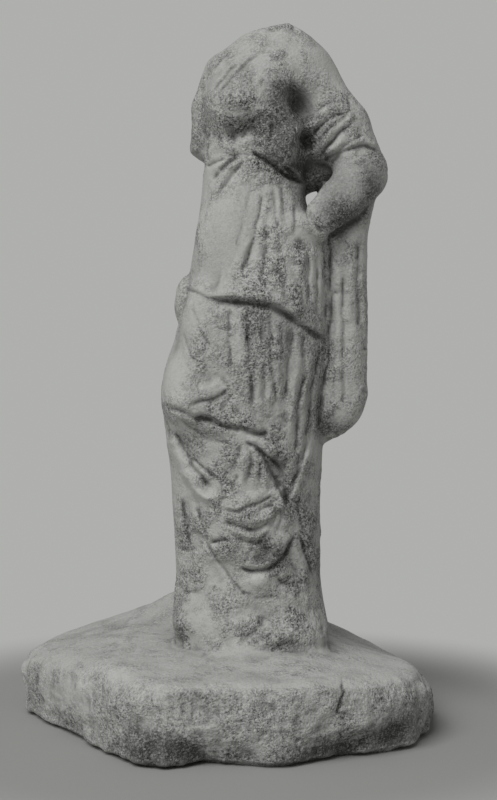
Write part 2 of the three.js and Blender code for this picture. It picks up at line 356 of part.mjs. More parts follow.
// ---- fewer, larger facets where the form is calm ----
function simplify({ pos, tri }, target) {
  const nv = pos.length / 3, faces = [];
  const around = Array.from({ length: nv }, () => []);
  for (let t = 0; t < tri.length; t += 3) {
    const f = [tri[t], tri[t + 1], tri[t + 2]];
    for (const v of f) around[v].push(faces.length);
    faces.push(f);
  }
  const Q = new Float64Array(nv * 10), version = new Int32Array(nv);
  const normal = (a, b, c) => {
    const ux = b[0] - a[0], uy = b[1] - a[1], uz = b[2] - a[2], vx = c[0] - a[0], vy = c[1] - a[1], vz = c[2] - a[2];
    return [uy * vz - uz * vy, uz * vx - ux * vz, ux * vy - uy * vx];
  };
  const P = (v) => [pos[3 * v], pos[3 * v + 1], pos[3 * v + 2]];
  const addPlane = (v, n, d, w) => {
    const q = [n[0] * n[0], n[0] * n[1], n[0] * n[2], n[0] * d, n[1] * n[1], n[1] * n[2], n[1] * d, n[2] * n[2], n[2] * d, d * d];
    for (let i = 0; i < 10; i++) Q[v * 10 + i] += q[i] * w;
  };
  faces.forEach((f) => {
    const [a, b, c] = f.map(P), n = normal(a, b, c), l = Math.hypot(...n) || 1e-12, u = n.map((x) => x / l);
    for (const v of f) addPlane(v, u, -(u[0] * a[0] + u[1] * a[1] + u[2] * a[2]), l / 2);
  });
  const cost = (q, p) => {
    const [x, y, z] = p;
    return q[0] * x * x + 2 * q[1] * x * y + 2 * q[2] * x * z + 2 * q[3] * x + q[4] * y * y + 2 * q[5] * y * z + 2 * q[6] * y + q[7] * z * z + 2 * q[8] * z + q[9];
  };
  const plan = (a, b) => {
    const q = new Float64Array(10);
    for (let i = 0; i < 10; i++) q[i] = Q[a * 10 + i] + Q[b * 10 + i];
    const pa = P(a), pb = P(b), mid = [0, 1, 2].map((c) => (pa[c] + pb[c]) / 2), len = Math.hypot(pa[0] - pb[0], pa[1] - pb[1], pa[2] - pb[2]);
    const det = q[0] * (q[4] * q[7] - q[5] * q[5]) - q[1] * (q[1] * q[7] - q[5] * q[2]) + q[2] * (q[1] * q[5] - q[4] * q[2]);
    const options = [mid, pa, pb];
    const scale = (q[0] + q[4] + q[7]) / 3;
    if (Math.abs(det) > 1e-4 * scale ** 3) {
      const bx = -q[3], by = -q[6], bz = -q[8];
      const p = [
        (bx * (q[4] * q[7] - q[5] * q[5]) - q[1] * (by * q[7] - q[5] * bz) + q[2] * (by * q[5] - q[4] * bz)) / det,
        (q[0] * (by * q[7] - q[5] * bz) - bx * (q[1] * q[7] - q[5] * q[2]) + q[2] * (q[1] * bz - by * q[2])) / det,
        (q[0] * (q[4] * bz - by * q[5]) - q[1] * (q[1] * bz - by * q[2]) + bx * (q[1] * q[5] - q[4] * q[2])) / det,
      ];
      if (Math.hypot(p[0] - mid[0], p[1] - mid[1], p[2] - mid[2]) < 1.5 * len) options.push(p);
    }
    let best = null;
    for (const p of options) { const c = cost(q, p) + 2e-3 * len ** 4; if (!best || c < best.c) best = { c, p }; }
    return best;
  };
  // a heap of edges, cheapest first
  const heap = [];
  const push = (e) => {
    let i = heap.push(e) - 1;
    while (i > 0) { const p = (i - 1) >> 1; if (heap[p].c <= e.c) break; heap[i] = heap[p]; i = p; }
    heap[i] = e;
  };
  const pop = () => {
    const top = heap[0], e = heap.pop();
    if (heap.length) {
      let i = 0;
      for (;;) {
        let k = 2 * i + 1;
        if (k >= heap.length) break;
        if (k + 1 < heap.length && heap[k + 1].c < heap[k].c) k++;
        if (heap[k].c >= e.c) break;
        heap[i] = heap[k]; i = k;
      }
      heap[i] = e;
    }
    return top;
  };
  const edge = (a, b) => { const { c, p } = plan(a, b); push({ c, p, a, b, va: version[a], vb: version[b] }); };
  faces.forEach((f) => { for (let i = 0; i < 3; i++) if (f[i] < f[(i + 1) % 3]) edge(f[i], f[(i + 1) % 3]); });
  const ring = (v) => { const s = new Set(); for (const t of around[v]) for (const w of faces[t]) if (w !== v) s.add(w); return s; };
  const keeps = (v, other, p) => {
    for (const t of around[v]) {
      const f = faces[t];
      if (f.includes(other)) continue;
      const old = f.map(P), now = f.map((w) => (w === v ? p : P(w)));
      const a = normal(...old), b = normal(...now), la = Math.hypot(...a), lb = Math.hypot(...b);
      const longest = Math.max(...[0, 1, 2].map((i) => Math.hypot(...[0, 1, 2].map((c) => now[i][c] - now[(i + 1) % 3][c]))));
      if (lb < 0.09 * longest * longest) return false;
      if (a[0] * b[0] + a[1] * b[1] + a[2] * b[2] < 0.45 * la * lb) return false;
    }
    return true;
  };
  let alive = faces.length;
  while (alive > target && heap.length) {
    const e = pop();
    if (e.va !== version[e.a] || e.vb !== version[e.b] || !around[e.a].length || !around[e.b].length) continue;
    const ra = ring(e.a), rb = ring(e.b);
    let common = 0;
    for (const w of ra) if (rb.has(w)) common++;
    if (common !== 2 || !keeps(e.a, e.b, e.p) || !keeps(e.b, e.a, e.p)) continue;
    const gone = around[e.a].filter((t) => faces[t].includes(e.b));
    if (gone.length !== 2) continue;
    for (const t of gone) { for (const w of faces[t]) around[w] = around[w].filter((s) => s !== t); faces[t] = null; alive--; }
    for (const t of around[e.b]) { faces[t] = faces[t].map((w) => (w === e.b ? e.a : w)); around[e.a].push(t); }
    around[e.b] = [];
    for (let c = 0; c < 3; c++) pos[3 * e.a + c] = e.p[c];
    for (let i = 0; i < 10; i++) Q[e.a * 10 + i] += Q[e.b * 10 + i];
    version[e.a]++; version[e.b]++;
    for (const w of ring(e.a)) edge(e.a, w);
  }
  const index = new Map(), outPos = [], outTri = [];
  for (const f of faces) {
    if (!f) continue;
    for (const v of f) {
      if (!index.has(v)) { index.set(v, outPos.length / 3); outPos.push(...P(v)); }
      outTri.push(index.get(v));
    }
  }
  return { pos: outPos, tri: outTri };
}

const solid = simplify(net(), TRIANGLES);

// flat underside, real size, origin under the middle of the base
let low = [1e9, 1e9], high = [-1e9, -1e9], top = 0;
for (let i = 0; i < solid.pos.length; i += 3) {
  if (solid.pos[i + 2] < 0.8) solid.pos[i + 2] = 0;
  for (let c = 0; c < 2; c++) { low[c] = Math.min(low[c], solid.pos[i + c]); high[c] = Math.max(high[c], solid.pos[i + c]); }
  top = Math.max(top, solid.pos[i + 2]);
}
const positions = new Float32Array(solid.pos.length);
for (let i = 0; i < solid.pos.length; i += 3) {
  positions[i] = (solid.pos[i] - (low[0] + high[0]) / 2) * PART;
  positions[i + 1] = (solid.pos[i + 1] - (low[1] + high[1]) / 2) * PART;
  positions[i + 2] = solid.pos[i + 2] * TOTAL_HEIGHT / top;
}
const geometry = new THREE.BufferGeometry();
geometry.setAttribute('position', new THREE.BufferAttribute(positions, 3));
geometry.setIndex(solid.tri);
geometry.computeVertexNormals();

const marble = new THREE.MeshStandardMaterial({ color: COLOUR, roughness: ROUGHNESS, metalness: 0 });
const statue = new THREE.Mesh(geometry, marble);
statue.name = 'draped_figure_on_base';

const group = new THREE.Group();
group.add(statue);
export default group;
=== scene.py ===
# A headless standing woman in a girdled dress, left hand on the hip, carved in one block with her
# rough base. The form is one closed surface: sections, rounded masses and carved folds are joined
# in a field of distances, the surface is read from it as a net and worn by noise.
import bpy, math, time
import numpy as np
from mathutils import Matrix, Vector


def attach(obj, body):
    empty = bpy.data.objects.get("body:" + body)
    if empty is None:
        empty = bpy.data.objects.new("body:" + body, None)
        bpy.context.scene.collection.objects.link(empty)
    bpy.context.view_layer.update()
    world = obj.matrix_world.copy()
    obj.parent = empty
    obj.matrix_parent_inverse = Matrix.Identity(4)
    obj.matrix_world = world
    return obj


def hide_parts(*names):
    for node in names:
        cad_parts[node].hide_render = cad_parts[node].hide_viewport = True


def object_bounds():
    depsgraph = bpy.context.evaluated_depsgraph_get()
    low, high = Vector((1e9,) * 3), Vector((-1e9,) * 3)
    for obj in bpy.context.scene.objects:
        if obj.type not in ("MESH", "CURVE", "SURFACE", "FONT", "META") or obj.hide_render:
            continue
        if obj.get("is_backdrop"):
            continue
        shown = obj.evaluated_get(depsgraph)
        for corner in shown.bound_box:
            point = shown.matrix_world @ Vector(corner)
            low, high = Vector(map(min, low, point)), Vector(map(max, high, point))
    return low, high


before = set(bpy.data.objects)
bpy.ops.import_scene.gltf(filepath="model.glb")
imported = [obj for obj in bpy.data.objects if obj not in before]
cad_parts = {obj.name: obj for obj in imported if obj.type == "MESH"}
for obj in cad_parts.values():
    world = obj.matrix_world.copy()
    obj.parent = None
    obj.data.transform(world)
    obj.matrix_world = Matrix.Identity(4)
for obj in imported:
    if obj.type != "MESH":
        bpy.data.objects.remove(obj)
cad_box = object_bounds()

T0 = time.time()
HEIGHT = 1.0                 # metres, underside of the base to the broken neck
PARTS = 695.8                # the form is drawn in parts of the height
PART = HEIGHT / PARTS
STEP = 1.5                   # spacing of the field, in parts
TRIANGLES = 197000
BASE_TOP = 80.0
NECK_BREAK = 696.4
CENTRE = (-22.5, 14.1)       # middle of the base's plan
f32 = np.float32

# sections of the draped body: height, left edge, right edge, depth in front of the axis, depth behind it
BODY = [
    (37.7, -73.1, 76.1, 60, 54), (82.3, -70, 77, 61, 54), (100.5, -75.5, 79, 65, 56), (120.7, -74.9, 75.4, 63, 56),
    (141, -73.4, 72.9, 61, 55), (181.3, -74.3, 72.3, 60, 55), (221.6, -76.2, 71.7, 62, 56),
    (261.8, -79.2, 73.2, 65, 56), (302, -84.1, 74.6, 69, 57), (322, -86.6, 75.6, 71, 58), (342, -85.5, 77.5, 71, 60),
    (362, -81, 79.5, 70, 62), (382, -73.9, 80.4, 69, 63), (402, -68.9, 81.4, 68, 65), (421.9, -62.9, 82.4, 67, 66),
    (441.8, -58.9, 82.3, 66, 66), (461.7, -56.3, 82.3, 64, 64), (481.6, -52.8, 81.2, 61, 61),
    (497.5, -50.1, 76.2, 58.5, 58.5), (509.4, -48.8, 62.3, 56, 56), (521.3, -47.3, 57.8, 54, 54),
    (531.2, -46.3, 57.2, 52, 52), (546.1, -45.3, 56.7, 50, 50), (560.9, -44.8, 57.2, 50, 50),
    (580.7, -44.2, 60.2, 51, 51), (600.5, -44.2, 62.1, 52, 52), (620.2, -44.2, 64.1, 50, 52),
    (639.9, -42.2, 67, 44, 48), (654.7, -36.2, 69, 37, 43), (667.5, -26.3, 69, 29, 37), (679.3, -12.4, 64, 21, 30),
    (687.2, -0.5, 57, 15, 24), (694.1, 15.4, 51.1, 9, 16), (699, 25.3, 47.1, 5, 10),
]
# the mantle's hanging end, in the same way
MANTLE = [
    (275.9, 63.6, 69.6, 8, 4), (280.9, 61.6, 78.6, 20, 9), (286.9, 59.6, 90.6, 26, 12), (297, 57.6, 104.6, 30, 15),
    (307, 57.6, 112.6, 33, 17), (317, 59.5, 116.6, 34, 18), (327, 61.5, 119.1, 34, 19), (342, 63.5, 117.5, 33, 19),
    (362, 67.5, 117.5, 33, 19), (382, 69.4, 118.4, 33, 19), (421.9, 71.4, 118.3, 33, 19),
    (461.7, 71.3, 117.7, 34, 20), (486.6, 69.3, 118.6, 34, 21), (506.4, 67.2, 122, 33, 22),
    (521.3, 67.2, 125, 28, 22), (535.2, 71.2, 122.9, 16, 16),
]
# rounded masses: limbs from point to point with two radii, eggs with a tilt, and the width of the blend
MASSES = [
    ("limb", "right upper arm, broken off", (-25.4, 4, 647.6), (-37.9, 6, 611.3), 18.8, 18, 10),
    ("limb", "right upper arm, broken off", (-37.9, 6, 611.3), (-42, 9, 577), 18, 15.5, 6),
    ("egg", "worn chest", (-14, -38, 611.2), (26, 22, 26), -8, 16),
    ("egg", "worn chest", (18.9, -33, 614.9), (19, 22, 34), 0, 15),
    ("egg", "worn chest", (32.6, -34, 574.2), (22, 24, 21), -20, 10),
    ("limb", "left arm", (49.1, 0, 651.8), (66.4, -3, 632.5), 23.5, 25.2, 12),
    ("limb", "left arm", (66.4, -3, 632.5), (91.3, -10, 591.1), 24.6, 28.4, 8),
    ("limb", "left arm", (91.3, -10, 591.1), (108.8, -15, 552.2), 28, 25.5, 6),
    ("egg", "sleeve", (75.4, -14, 582.7), (30, 24, 24), 38, 10),
    ("limb", "left forearm", (111.1, -18, 543.1), (91.5, -34, 517.1), 25.5, 21.6, 5),
    ("limb", "left forearm", (91.5, -34, 517.1), (74.5, -44, 497.3), 21.6, 16, 6),
    ("limb", "left forearm", (82.3, -33, 523.5), (64.4, -42, 508.1), 12, 8, 4),
    ("egg", "left hand, worn away", (69.3, -40, 495.2), (17, 16, 16), 40, 8),
    ("limb", "cloth behind the left arm", (51.3, 4, 601.1), (65.5, 8, 555.9), 20, 18, 8),
    ("limb", "cloth behind the left arm", (53.5, 8, 549), (77.3, 4, 552.5), 23, 16, 3),
    ("mantle", "hanging end of the mantle", 5),
    ("hollow", "hollow under the left shoulder", (49.4, -52, 611.8), (12.5, 36, 20), 24, 8),
    ("hollow", "hollow between chest and sleeve", (56.2, -52, 570.8), (6, 17, 13), -20, 10),
    ("hollow", "hollow under the sleeve", (58.1, -52, 546.9), (16, 34, 14), -22, 8),
    ("hollow", "hollow under the chest", (42.8, -50, 543.3), (16, 22, 6.5), -30, 5),
    ("egg", "rest of the right hand", (-60.9, 0, 420.9), (13, 17, 26), -8, 4),
    ("egg", "bent knee", (-56.9, -42, 329.4), (26, 32, 38), 0, 16),
    ("egg", "thigh", (-37.4, -42, 377), (26, 26, 52), 10, 12),
    ("egg", "belly", (-14.6, -33, 479.3), (33, 28, 46), 0, 18),
    ("egg", "bunched cloth at the shins", (-4.4, -46, 206.9), (38, 24, 44), 14, 14),
    ("egg", "feet under the hem", (13.3, -34, 92.9), (64, 44, 24), 0, 14),
    ("egg", "feet under the hem", (-38.9, -32, 94.5), (31, 33, 26), 0, 18),
    ("egg", "cloth in front of the feet", (-27.9, -43, 102.5), (36, 22, 24), 0, 22),
    ("egg", "light lens below the bunch", (9.2, -50, 148.8), (19, 14, 13), 10, 8),
    ("egg", "left shoulder", (54.1, 0, 649.8), (30, 32, 27), 0, 10),
]
# outline of the block at half height, and of its underside
PLAN = [(-231, 55), (-214, 5), (-188, -42), (-157, -94), (-125, -139), (-101, -165), (-74, -177), (-40, -175), (0, -178), (36, -174), (64, -162), (92, -151), (120, -139), (148, -116), (168, -80), (182, -36), (192, 18), (187, 80), (140, 150), (60, 194), (-40, 206), (-120, 199), (-180, 153), (-217, 106)]
FOOT = [(-228, 62), (-224, 25), (-203, -16), (-177, -54), (-147, -104), (-117, -149), (-97, -174), (-76, -181), (-62, -175), (-41, -161), (-14, -169), (19, -178), (37, -175), (60, -158), (84, -140), (109, -134), (134, -125), (154, -104), (174, -54), (187, 4), (184, 80), (138, 148), (60, 192), (-40, 203), (-120, 196), (-178, 151), (-214, 108)]
# folds on the front: kind, half width, depth, line of x, z; then the reach of a hem and its fade at the ends
FOLDS = [
    ("groove", 1.3, 1.6, [(-17, 666.9), (-31.7, 650.5), (-42.4, 636), (-47.3, 617.6)]),
    ("ridge", 3.2, 1.3, [(-10.2, 668.2), (-23.7, 652.9), (-35.4, 637.5)]),
    ("groove", 1.2, 2.2, [(12, 660.9), (1.4, 653.3), (-7.2, 643.7), (-18.8, 630.3), (-31.3, 615)]),
    ("groove", 1.2, 1.8, [(-9.2, 650.8), (-17.9, 642.2), (-25.6, 632.6), (-35.2, 620.1)]),
    ("ridge", 2.4, 1.3, [(3.4, 658.6), (-10.1, 645.3), (-21.7, 631.9)]),
    ("ridge", 2.4, 1, [(-5.3, 659.8), (-21.7, 642.5), (-33.3, 627.2)]),
    ("groove", 1.8, 2.2, [(-44.8, 625.8), (-45.8, 608.2), (-43.8, 590.6), (-41.9, 575.9)]),
    ("groove", 8, 4.6, [(16.7, 597.8), (7.2, 591.2), (-3.3, 585.5), (-14.8, 578.8), (-25.4, 576)], 18, 0.30),
    ("groove", 3, 1.8, [(9.1, 588.3), (-0.5, 582.6), (-10, 577.9)], 18, 0.30),
    ("ridge", 5, 2.2, [(-41.8, 570.4), (-22.7, 568.1), (-2.4, 572.9), (14.9, 574.8)]),
    ("ridge", 3.4, 1, [(-5.3, 573), (7.2, 573.8), (17.8, 572.9)]),
    ("groove", 1.3, 1.6, [(-21.7, 559.4), (-8.2, 560.7), (3.4, 562.4)]),
    ("hem", 1.6, 5.5, [(2.4, 564.3), (8.2, 561), (18.8, 555.4), (26.5, 550.4), (34.3, 545.1), (44.2, 540.2), (54.6, 537.4)], 16, 0.10),
    ("ridge", 6, 2.6, [(18.7, 568.2), (32.3, 559.3), (42.2, 550.6)]),
    ("groove", 2.4, 2.4, [(20.6, 592.8), (21.6, 579.6), (18.8, 564.4)], 18, 0.30),
    ("groove", 1.2, 2.4, [(-9.1, 560.7), (-19.8, 552.6), (-28.6, 544.5), (-35.5, 535.6)]),
    ("groove", 1.2, 2, [(-21.7, 558.4), (-31.6, 554.6), (-41.7, 552.2)]),
    ("groove", 1.1, 1.5, [(-2.4, 556.7), (-14.9, 542.7), (-25.6, 526.7), (-32.4, 513.5)]),
    ("ridge", 2.4, 2, [(-5.3, 558.7), (-18.8, 546.7), (-28.6, 532.8), (-34.5, 521.6)]),
    ("ridge", 2.2, 1.6, [(-15.9, 559.1), (-26.6, 552.1), (-35.6, 546.4)]),
    ("hem", 1.3, 2.2, [(100.4, 610), (86.8, 612.5), (73.2, 608.1), (61.6, 599)], 6, 0.20),
    ("ridge", 3.2, 1.8, [(63.5, 594.1), (76.1, 604.7), (88.7, 609.1), (100.4, 606.7)]),
    ("groove", 1.3, 3.2, [(57.6, 577.2), (69.2, 587.8), (79.8, 596.9), (94.3, 603.6)], 18, 0.14),
    ("ridge", 2, 1.5, [(64.4, 576.2), (74, 587.3), (84.6, 595.5)]),
    ("groove", 1.2, 2.4, [(67.3, 572.4), (76, 583.5), (87.1, 594.5), (97.2, 603.2)]),
    ("ridge", 3.2, 2, [(69.2, 565.6), (79.8, 578.2), (91.4, 590.7), (103, 600.3)]),
    ("groove", 1.4, 3.4, [(66.3, 557.9), (79.9, 572.4), (87.6, 582), (98.2, 591.1)]),
    ("ridge", 3.2, 2, [(74.1, 558.9), (85.7, 570.5), (97.3, 582), (109.8, 592.6)]),
    ("groove", 1.4, 3.6, [(72.1, 556), (85.7, 563.2), (96.8, 572.4), (106, 578.2), (113.7, 582)]),
    ("ridge", 3, 2, [(84.7, 558.9), (97.3, 568.1), (109.8, 576.2), (119.5, 579.1)]),
    ("hem", 1.5, 3.6, [(78.1, 556.3), (85.8, 561.6), (93.1, 565.9), (102.3, 569.8), (113.9, 571.7), (125.5, 568.8)], 9, 0.06),
    ("groove", 5, 5, [(50.7, 586.5), (57.5, 575), (65.3, 565.4)], 18, 0.30),
    ("groove", 3.4, 4.6, [(54.6, 566.4), (60.4, 576.9), (67.2, 586.5), (72.9, 593.3)], 18, 0.30),
    ("groove", 1.2, 2.2, [(58.5, 570.2), (65.2, 579.8), (72, 587.5)], 18, 0.30),
    ("ridge", 3, 1, [(43.9, 593.9), (50.7, 592), (58.4, 588.2)]),
    ("groove", 1.1, 2.5, [(13, 524.9), (10.5, 505.4), (7.2, 488), (1.4, 468.7), (-3.3, 453.4), (-8.1, 440)], 18, 0.12),
    ("groove", 3, 1.2, [(8.1, 481.2), (2.4, 463.9), (-4.3, 446.7)], 18, 0.30),
    ("ridge", 3.4, 1.6, [(3.3, 481.2), (-5.3, 465.9), (-12.9, 450.6), (-19.6, 439.2)]),
    ("ridge", 2.6, 1.2, [(15.9, 532.7), (14.9, 511.3), (12.9, 488.9), (9.1, 467.7), (4.3, 448.5)]),
    ("groove", 1, 0.9, [(1.4, 531.7), (-1.4, 512.2), (-7.2, 489.1), (-13.9, 467.9)]),
    ("groove", 4.6, 2, [(17.7, 494.7), (16.7, 477.3), (13.8, 458.1), (11, 433.2)], 18, 0.25),
    ("groove", 1, 1.2, [(18.7, 490.9), (16.7, 471.6), (13.8, 450.4), (11.9, 435.1)]),
    ("ridge", 3.2, 1.6, [(22.6, 520.2), (23, 487), (22.4, 456.2), (20.5, 423.7)]),
    ("groove", 1, 1.4, [(22.6, 530), (24, 516.3), (26.4, 499.7), (28.2, 485.1)]),
    ("ridge", 1.7, 1, [(27.5, 532.1), (29.4, 512.6), (31.2, 492.9)]),
    ("groove", 1, 1.4, [(31.4, 534.2), (32.3, 516.7), (34.1, 501.9), (36.9, 487.2)]),
    ("groove", 3.6, 1.2, [(29.2, 479.3), (29.1, 460.1), (30.1, 435.2)], 18, 0.30),
    ("ridge", 3, 1.4, [(35.9, 485.2), (35.9, 462.1), (37.8, 435.3), (39.7, 416.2)]),
    ("groove", 3, 1.4, [(33, 446.7), (33.9, 433.3), (33.9, 418.1)], 18, 0.30),
    ("ridge", 2.2, 1.2, [(40.2, 532.9), (41.1, 511.3), (41.7, 485.4)]),
    ("groove", 1, 1.7, [(44.1, 513.6), (43.9, 499.3), (44.6, 481.6)]),
    ("groove", 4.2, 2.2, [(48.5, 481.7), (48.5, 473), (47.5, 464.3)], 18, 0.30),
    ("ridge", 4, 1.7, [(49.5, 466.2), (49.4, 452.8), (48.4, 439.3)], 18, 0.30),
    ("ridge", 2.2, 1.2, [(50, 506.1), (50.6, 493.5), (52.5, 481.9)]),
    ("groove", 1, 1.4, [(54.4, 513.1), (56.7, 498.1), (60.4, 482.3)]),
    ("groove", 1.2, 2, [(56.3, 468.4), (58.3, 447.3), (57.3, 427), (54.3, 410.6)]),
    ("ridge", 2.4, 1.1, [(61.3, 474.5), (62.3, 447.4), (62.3, 408.9)]),
    ("groove", 1, 1.4, [(65.3, 457.3), (66.3, 436), (66.4, 403.2)]),
    ("ridge", 2.2, 0.9, [(69.5, 473.1), (69.9, 440.1), (70.6, 399.4)]),
    ("groove", 1, 1.4, [(72.7, 481.4), (73.6, 454), (74.2, 420.9), (74.9, 395.6)]),
    ("groove", 1.2, 3.4, [(78.8, 487.6), (79.9, 458.3), (80.9, 428.9), (80.5, 403.5), (79.5, 388.8), (78.1, 362.3), (74.2, 340.7), (71.3, 323), (69.4, 293.4)], 18, 0.06),
    ("hem", 1.3, 2.2, [(-60.5, 435), (-51.1, 429.5), (-40, 425.2), (-27.3, 422), (-13.9, 420)], 14, 0.16),
    ("hem", 2.5, 5.4, [(-37.1, 424.6), (-25.4, 421.4), (-17.7, 420.9), (-2.4, 419.3), (11, 417.8), (24.3, 414.7), (35.9, 408.5), (48.5, 400)], 17, 0.14),
    ("hem", 2, 4.2, [(32, 410.4), (46.5, 400.7), (58.4, 392.4), (68.6, 387.2), (78.3, 386.8)], 13, 0.20),
    ("groove", 2, 2.2, [(-33.1, 421.2), (-8.1, 417.1), (12.9, 415.1), (30.1, 408.5), (48.5, 396.2)], 18, 0.15),
    ("groove", 1.1, 1.9, [(-18.2, 416.2), (-19.1, 391.3), (-18.1, 374.1), (-17.6, 349.4)]),
    ("ridge", 5, 1.2, [(-10, 412.3), (-10, 381.8), (-9.1, 349.4)]),
    ("groove", 1.3, 2.5, [(-1, 414.2), (-1.4, 387.5), (0.5, 366.5), (2.4, 342.7), (3.3, 315)], 18, 0.10),
    ("groove", 1, 1.2, [(-56.2, 418), (-49.8, 404.1), (-43.8, 388.5), (-34, 370.3)]),
    ("groove", 1, 0.8, [(-64, 391.7), (-58.6, 376), (-50.5, 360.7)]),
    ("groove", 3.4, 1.2, [(12.9, 412.3), (12.9, 391.3), (11.9, 370.3)], 18, 0.30),
    ("ridge", 2.2, 1.4, [(9.1, 362.7), (10, 343.7), (10, 320.7), (12.9, 301.5)]),
    ("groove", 1, 1.6, [(13.8, 364.6), (14.8, 343.6), (14.8, 320.7)]),
    ("groove", 1, 1.7, [(20.5, 412.3), (20.5, 389.4), (20.5, 370.3), (22.4, 351.2), (25.3, 328.3), (23.4, 307.2)]),
    ("ridge", 2.2, 1.2, [(18.6, 360.8), (19.6, 339.8), (18.6, 313)]),
    ("ridge", 2.6, 1.2, [(27.2, 408.5), (26.3, 381.8), (29.1, 351.2), (30.2, 320.6)]),
    ("groove", 3.8, 2.3, [(40.7, 399), (39.7, 379.9), (37.8, 356.9), (35, 328.2), (34.1, 289.6)], 18, 0.16),
    ("groove", 1.2, 1.4, [(42.6, 397.1), (40.7, 372.2), (36.9, 349.2), (35, 320.5)]),
    ("groove", 1, 1.1, [(31, 402.8), (31.1, 378), (33, 358.8)]),
    ("ridge", 3, 1.9, [(48.5, 383.7), (48.5, 360.7), (43.7, 331.9), (40.9, 301), (42, 279.7)]),
    ("groove", 1.4, 2.5, [(53.9, 389.5), (52.9, 376), (50.5, 362.6)]),
    ("groove", 1.4, 2.7, [(58.5, 354.8), (50.6, 335.6), (47.7, 310.5), (45.9, 287.3), (45.9, 263.9)]),
    ("ridge", 2.6, 1.6, [(60.4, 376), (58.5, 350.9), (53.6, 320), (52.8, 288.9)]),
    ("groove", 1.4, 3, [(69.7, 381.9), (64.6, 352.7), (60.7, 327.5), (58.7, 310), (55.8, 284.8), (50.9, 261.7), (44.1, 234.7)]),
    ("groove", 1, 1.2, [(62.8, 313.7), (58.9, 288.5), (53.9, 263.4)]),
    ("hem", 1.2, 2.2, [(-58.3, 320.7), (-46.5, 324.3), (-35.8, 326.4), (-26.2, 331.2), (-18.1, 339.8)], 11, 0.15),
    ("groove", 1, 1, [(-64.3, 342.2), (-58.2, 333.7), (-50.4, 326.2)]),
    ("ridge", 5, 1.8, [(-23.4, 339.8), (-35.8, 336.9), (-47.4, 334.9)]),
    ("groove", 1, 1.4, [(-15.7, 332.2), (-22.4, 321.7), (-29.2, 311.1)]),
    ("hem", 1.9, 4.2, [(-81.1, 320), (-71.4, 318.2), (-62.3, 315.7), (-53.4, 311.6), (-44.6, 308.9), (-33.5, 305.7), (-20.6, 300.1), (-6.2, 299.2), (-1.4, 296.8), (9.1, 293.4), (20.6, 294.7)], 12, 0.14),
    ("groove", 2.2, 2.6, [(-50.5, 310.7), (-38.8, 307.1), (-31.1, 305.3)], 18, 0.25),
    ("groove", 2.2, 2.6, [(-23.4, 300.5), (-13.9, 298.7), (-5.3, 298.7)], 18, 0.25),
    ("groove", 2.2, 2.4, [(1.4, 294.8), (11, 291.9), (19.6, 293.7)], 18, 0.25),
    ("ridge", 4, 3, [(-76.8, 312.5), (-60.4, 307.5), (-42.7, 300.3), (-23.4, 293.8), (-10, 290)]),
    ("groove", 1.2, 1.7, [(-69.5, 308), (-56, 298.9), (-46.7, 291.9), (-31.7, 285), (-16.8, 284.2)]),
    ("hem", 1.4, 4.5, [(-3.3, 286.6), (8.6, 278.4), (19.7, 270.5), (33.2, 260.5)], 9, 0.12),
    ("groove", 1.1, 1.8, [(31.2, 289.7), (25.4, 280.1), (20.6, 272.5)]),
    ("ridge", 3, 1.8, [(1.4, 289), (14.9, 282.2), (28.3, 274.3)]),
    ("groove", 1.7, 3.3, [(-72.8, 294.9), (-66.7, 283.6), (-59.2, 271.3), (-49.8, 256.2), (-41, 244.4), (-33.2, 239.3)], 18, 0.14),
    ("groove", 1.3, 2.5, [(-64.6, 287.7), (-54.7, 271.6), (-42.9, 257.5), (-28.4, 247.7)]),
    ("ridge", 1.8, 1.2, [(-65.7, 283.7), (-56.7, 269.5), (-45.9, 255.4), (-34.2, 245.1)]),
    ("ridge", 5, 4.6, [(-79.5, 291.2), (-71, 274.2), (-60.8, 255.4), (-50.9, 240.4), (-39.1, 230.8), (-21.7, 230.8)], 18, 0.14),
    ("ridge", 2, 1.6, [(-65.9, 256.9), (-56.9, 243), (-46, 231.9), (-32.3, 227.6)]),
    ("groove", 4, 1, [(-65.1, 231.2), (-55, 220.5), (-42.1, 214.5), (-29.4, 216)], 18, 0.30),
    ("groove", 1.3, 1.6, [(-7.2, 284.2), (-12, 266.8), (-20.7, 252.2), (-29.4, 243.3)]),
    ("groove", 1.4, 3, [(-10.1, 254.2), (-12.5, 245.5), (-16.8, 235.7)]),
    ("ridge", 2.4, 2, [(-7.2, 270.7), (-8.2, 255.2), (-11, 241.6)]),
    ("ridge", 2.2, 1.8, [(-5.3, 279.4), (-2.9, 266.8), (-4.3, 251.3), (-8.2, 238.7)]),
    ("groove", 1.3, 1.8, [(-2.4, 285.2), (1.9, 270.7), (1, 256.2), (-4.8, 241.6)], 18, 0.25),
    ("groove", 1.3, 1.5, [(4.3, 281.3), (11, 266.8), (11.5, 255.1), (7.2, 243.5)], 18, 0.25),
    ("ridge", 2.2, 1.6, [(5.7, 276.5), (7.2, 261), (6.2, 245.5)]),
    ("ridge", 2.4, 1.6, [(13.9, 264.8), (15.9, 251.2), (16.8, 239.6)]),
    ("groove", 1.1, 1.1, [(18.7, 249.2), (20.7, 237.6)]),
    ("groove", 1.9, 2, [(-64.1, 228.4), (-62.6, 210.7), (-60.2, 191.2), (-58.2, 176.7)], 18, 0.20),
    ("groove", 1.3, 2.2, [(-37.1, 184.6), (-28.4, 188.5), (-17.8, 189.9)]),
    ("groove", 1.3, 1.9, [(8.2, 218.6), (16.8, 221.5), (25.5, 223.4)]),
    ("hem", 1.4, 4.4, [(36.7, 218.5), (33.3, 227.4), (29.4, 236.3), (23.6, 249.1), (17.8, 260.9), (12, 271.6), (2.4, 283.2)], 9, 0.08),
    ("groove", 4.4, 5.4, [(18.7, 269.6), (26.4, 261.7), (31.8, 249.9), (35.7, 235.1)], 18, 0.20),
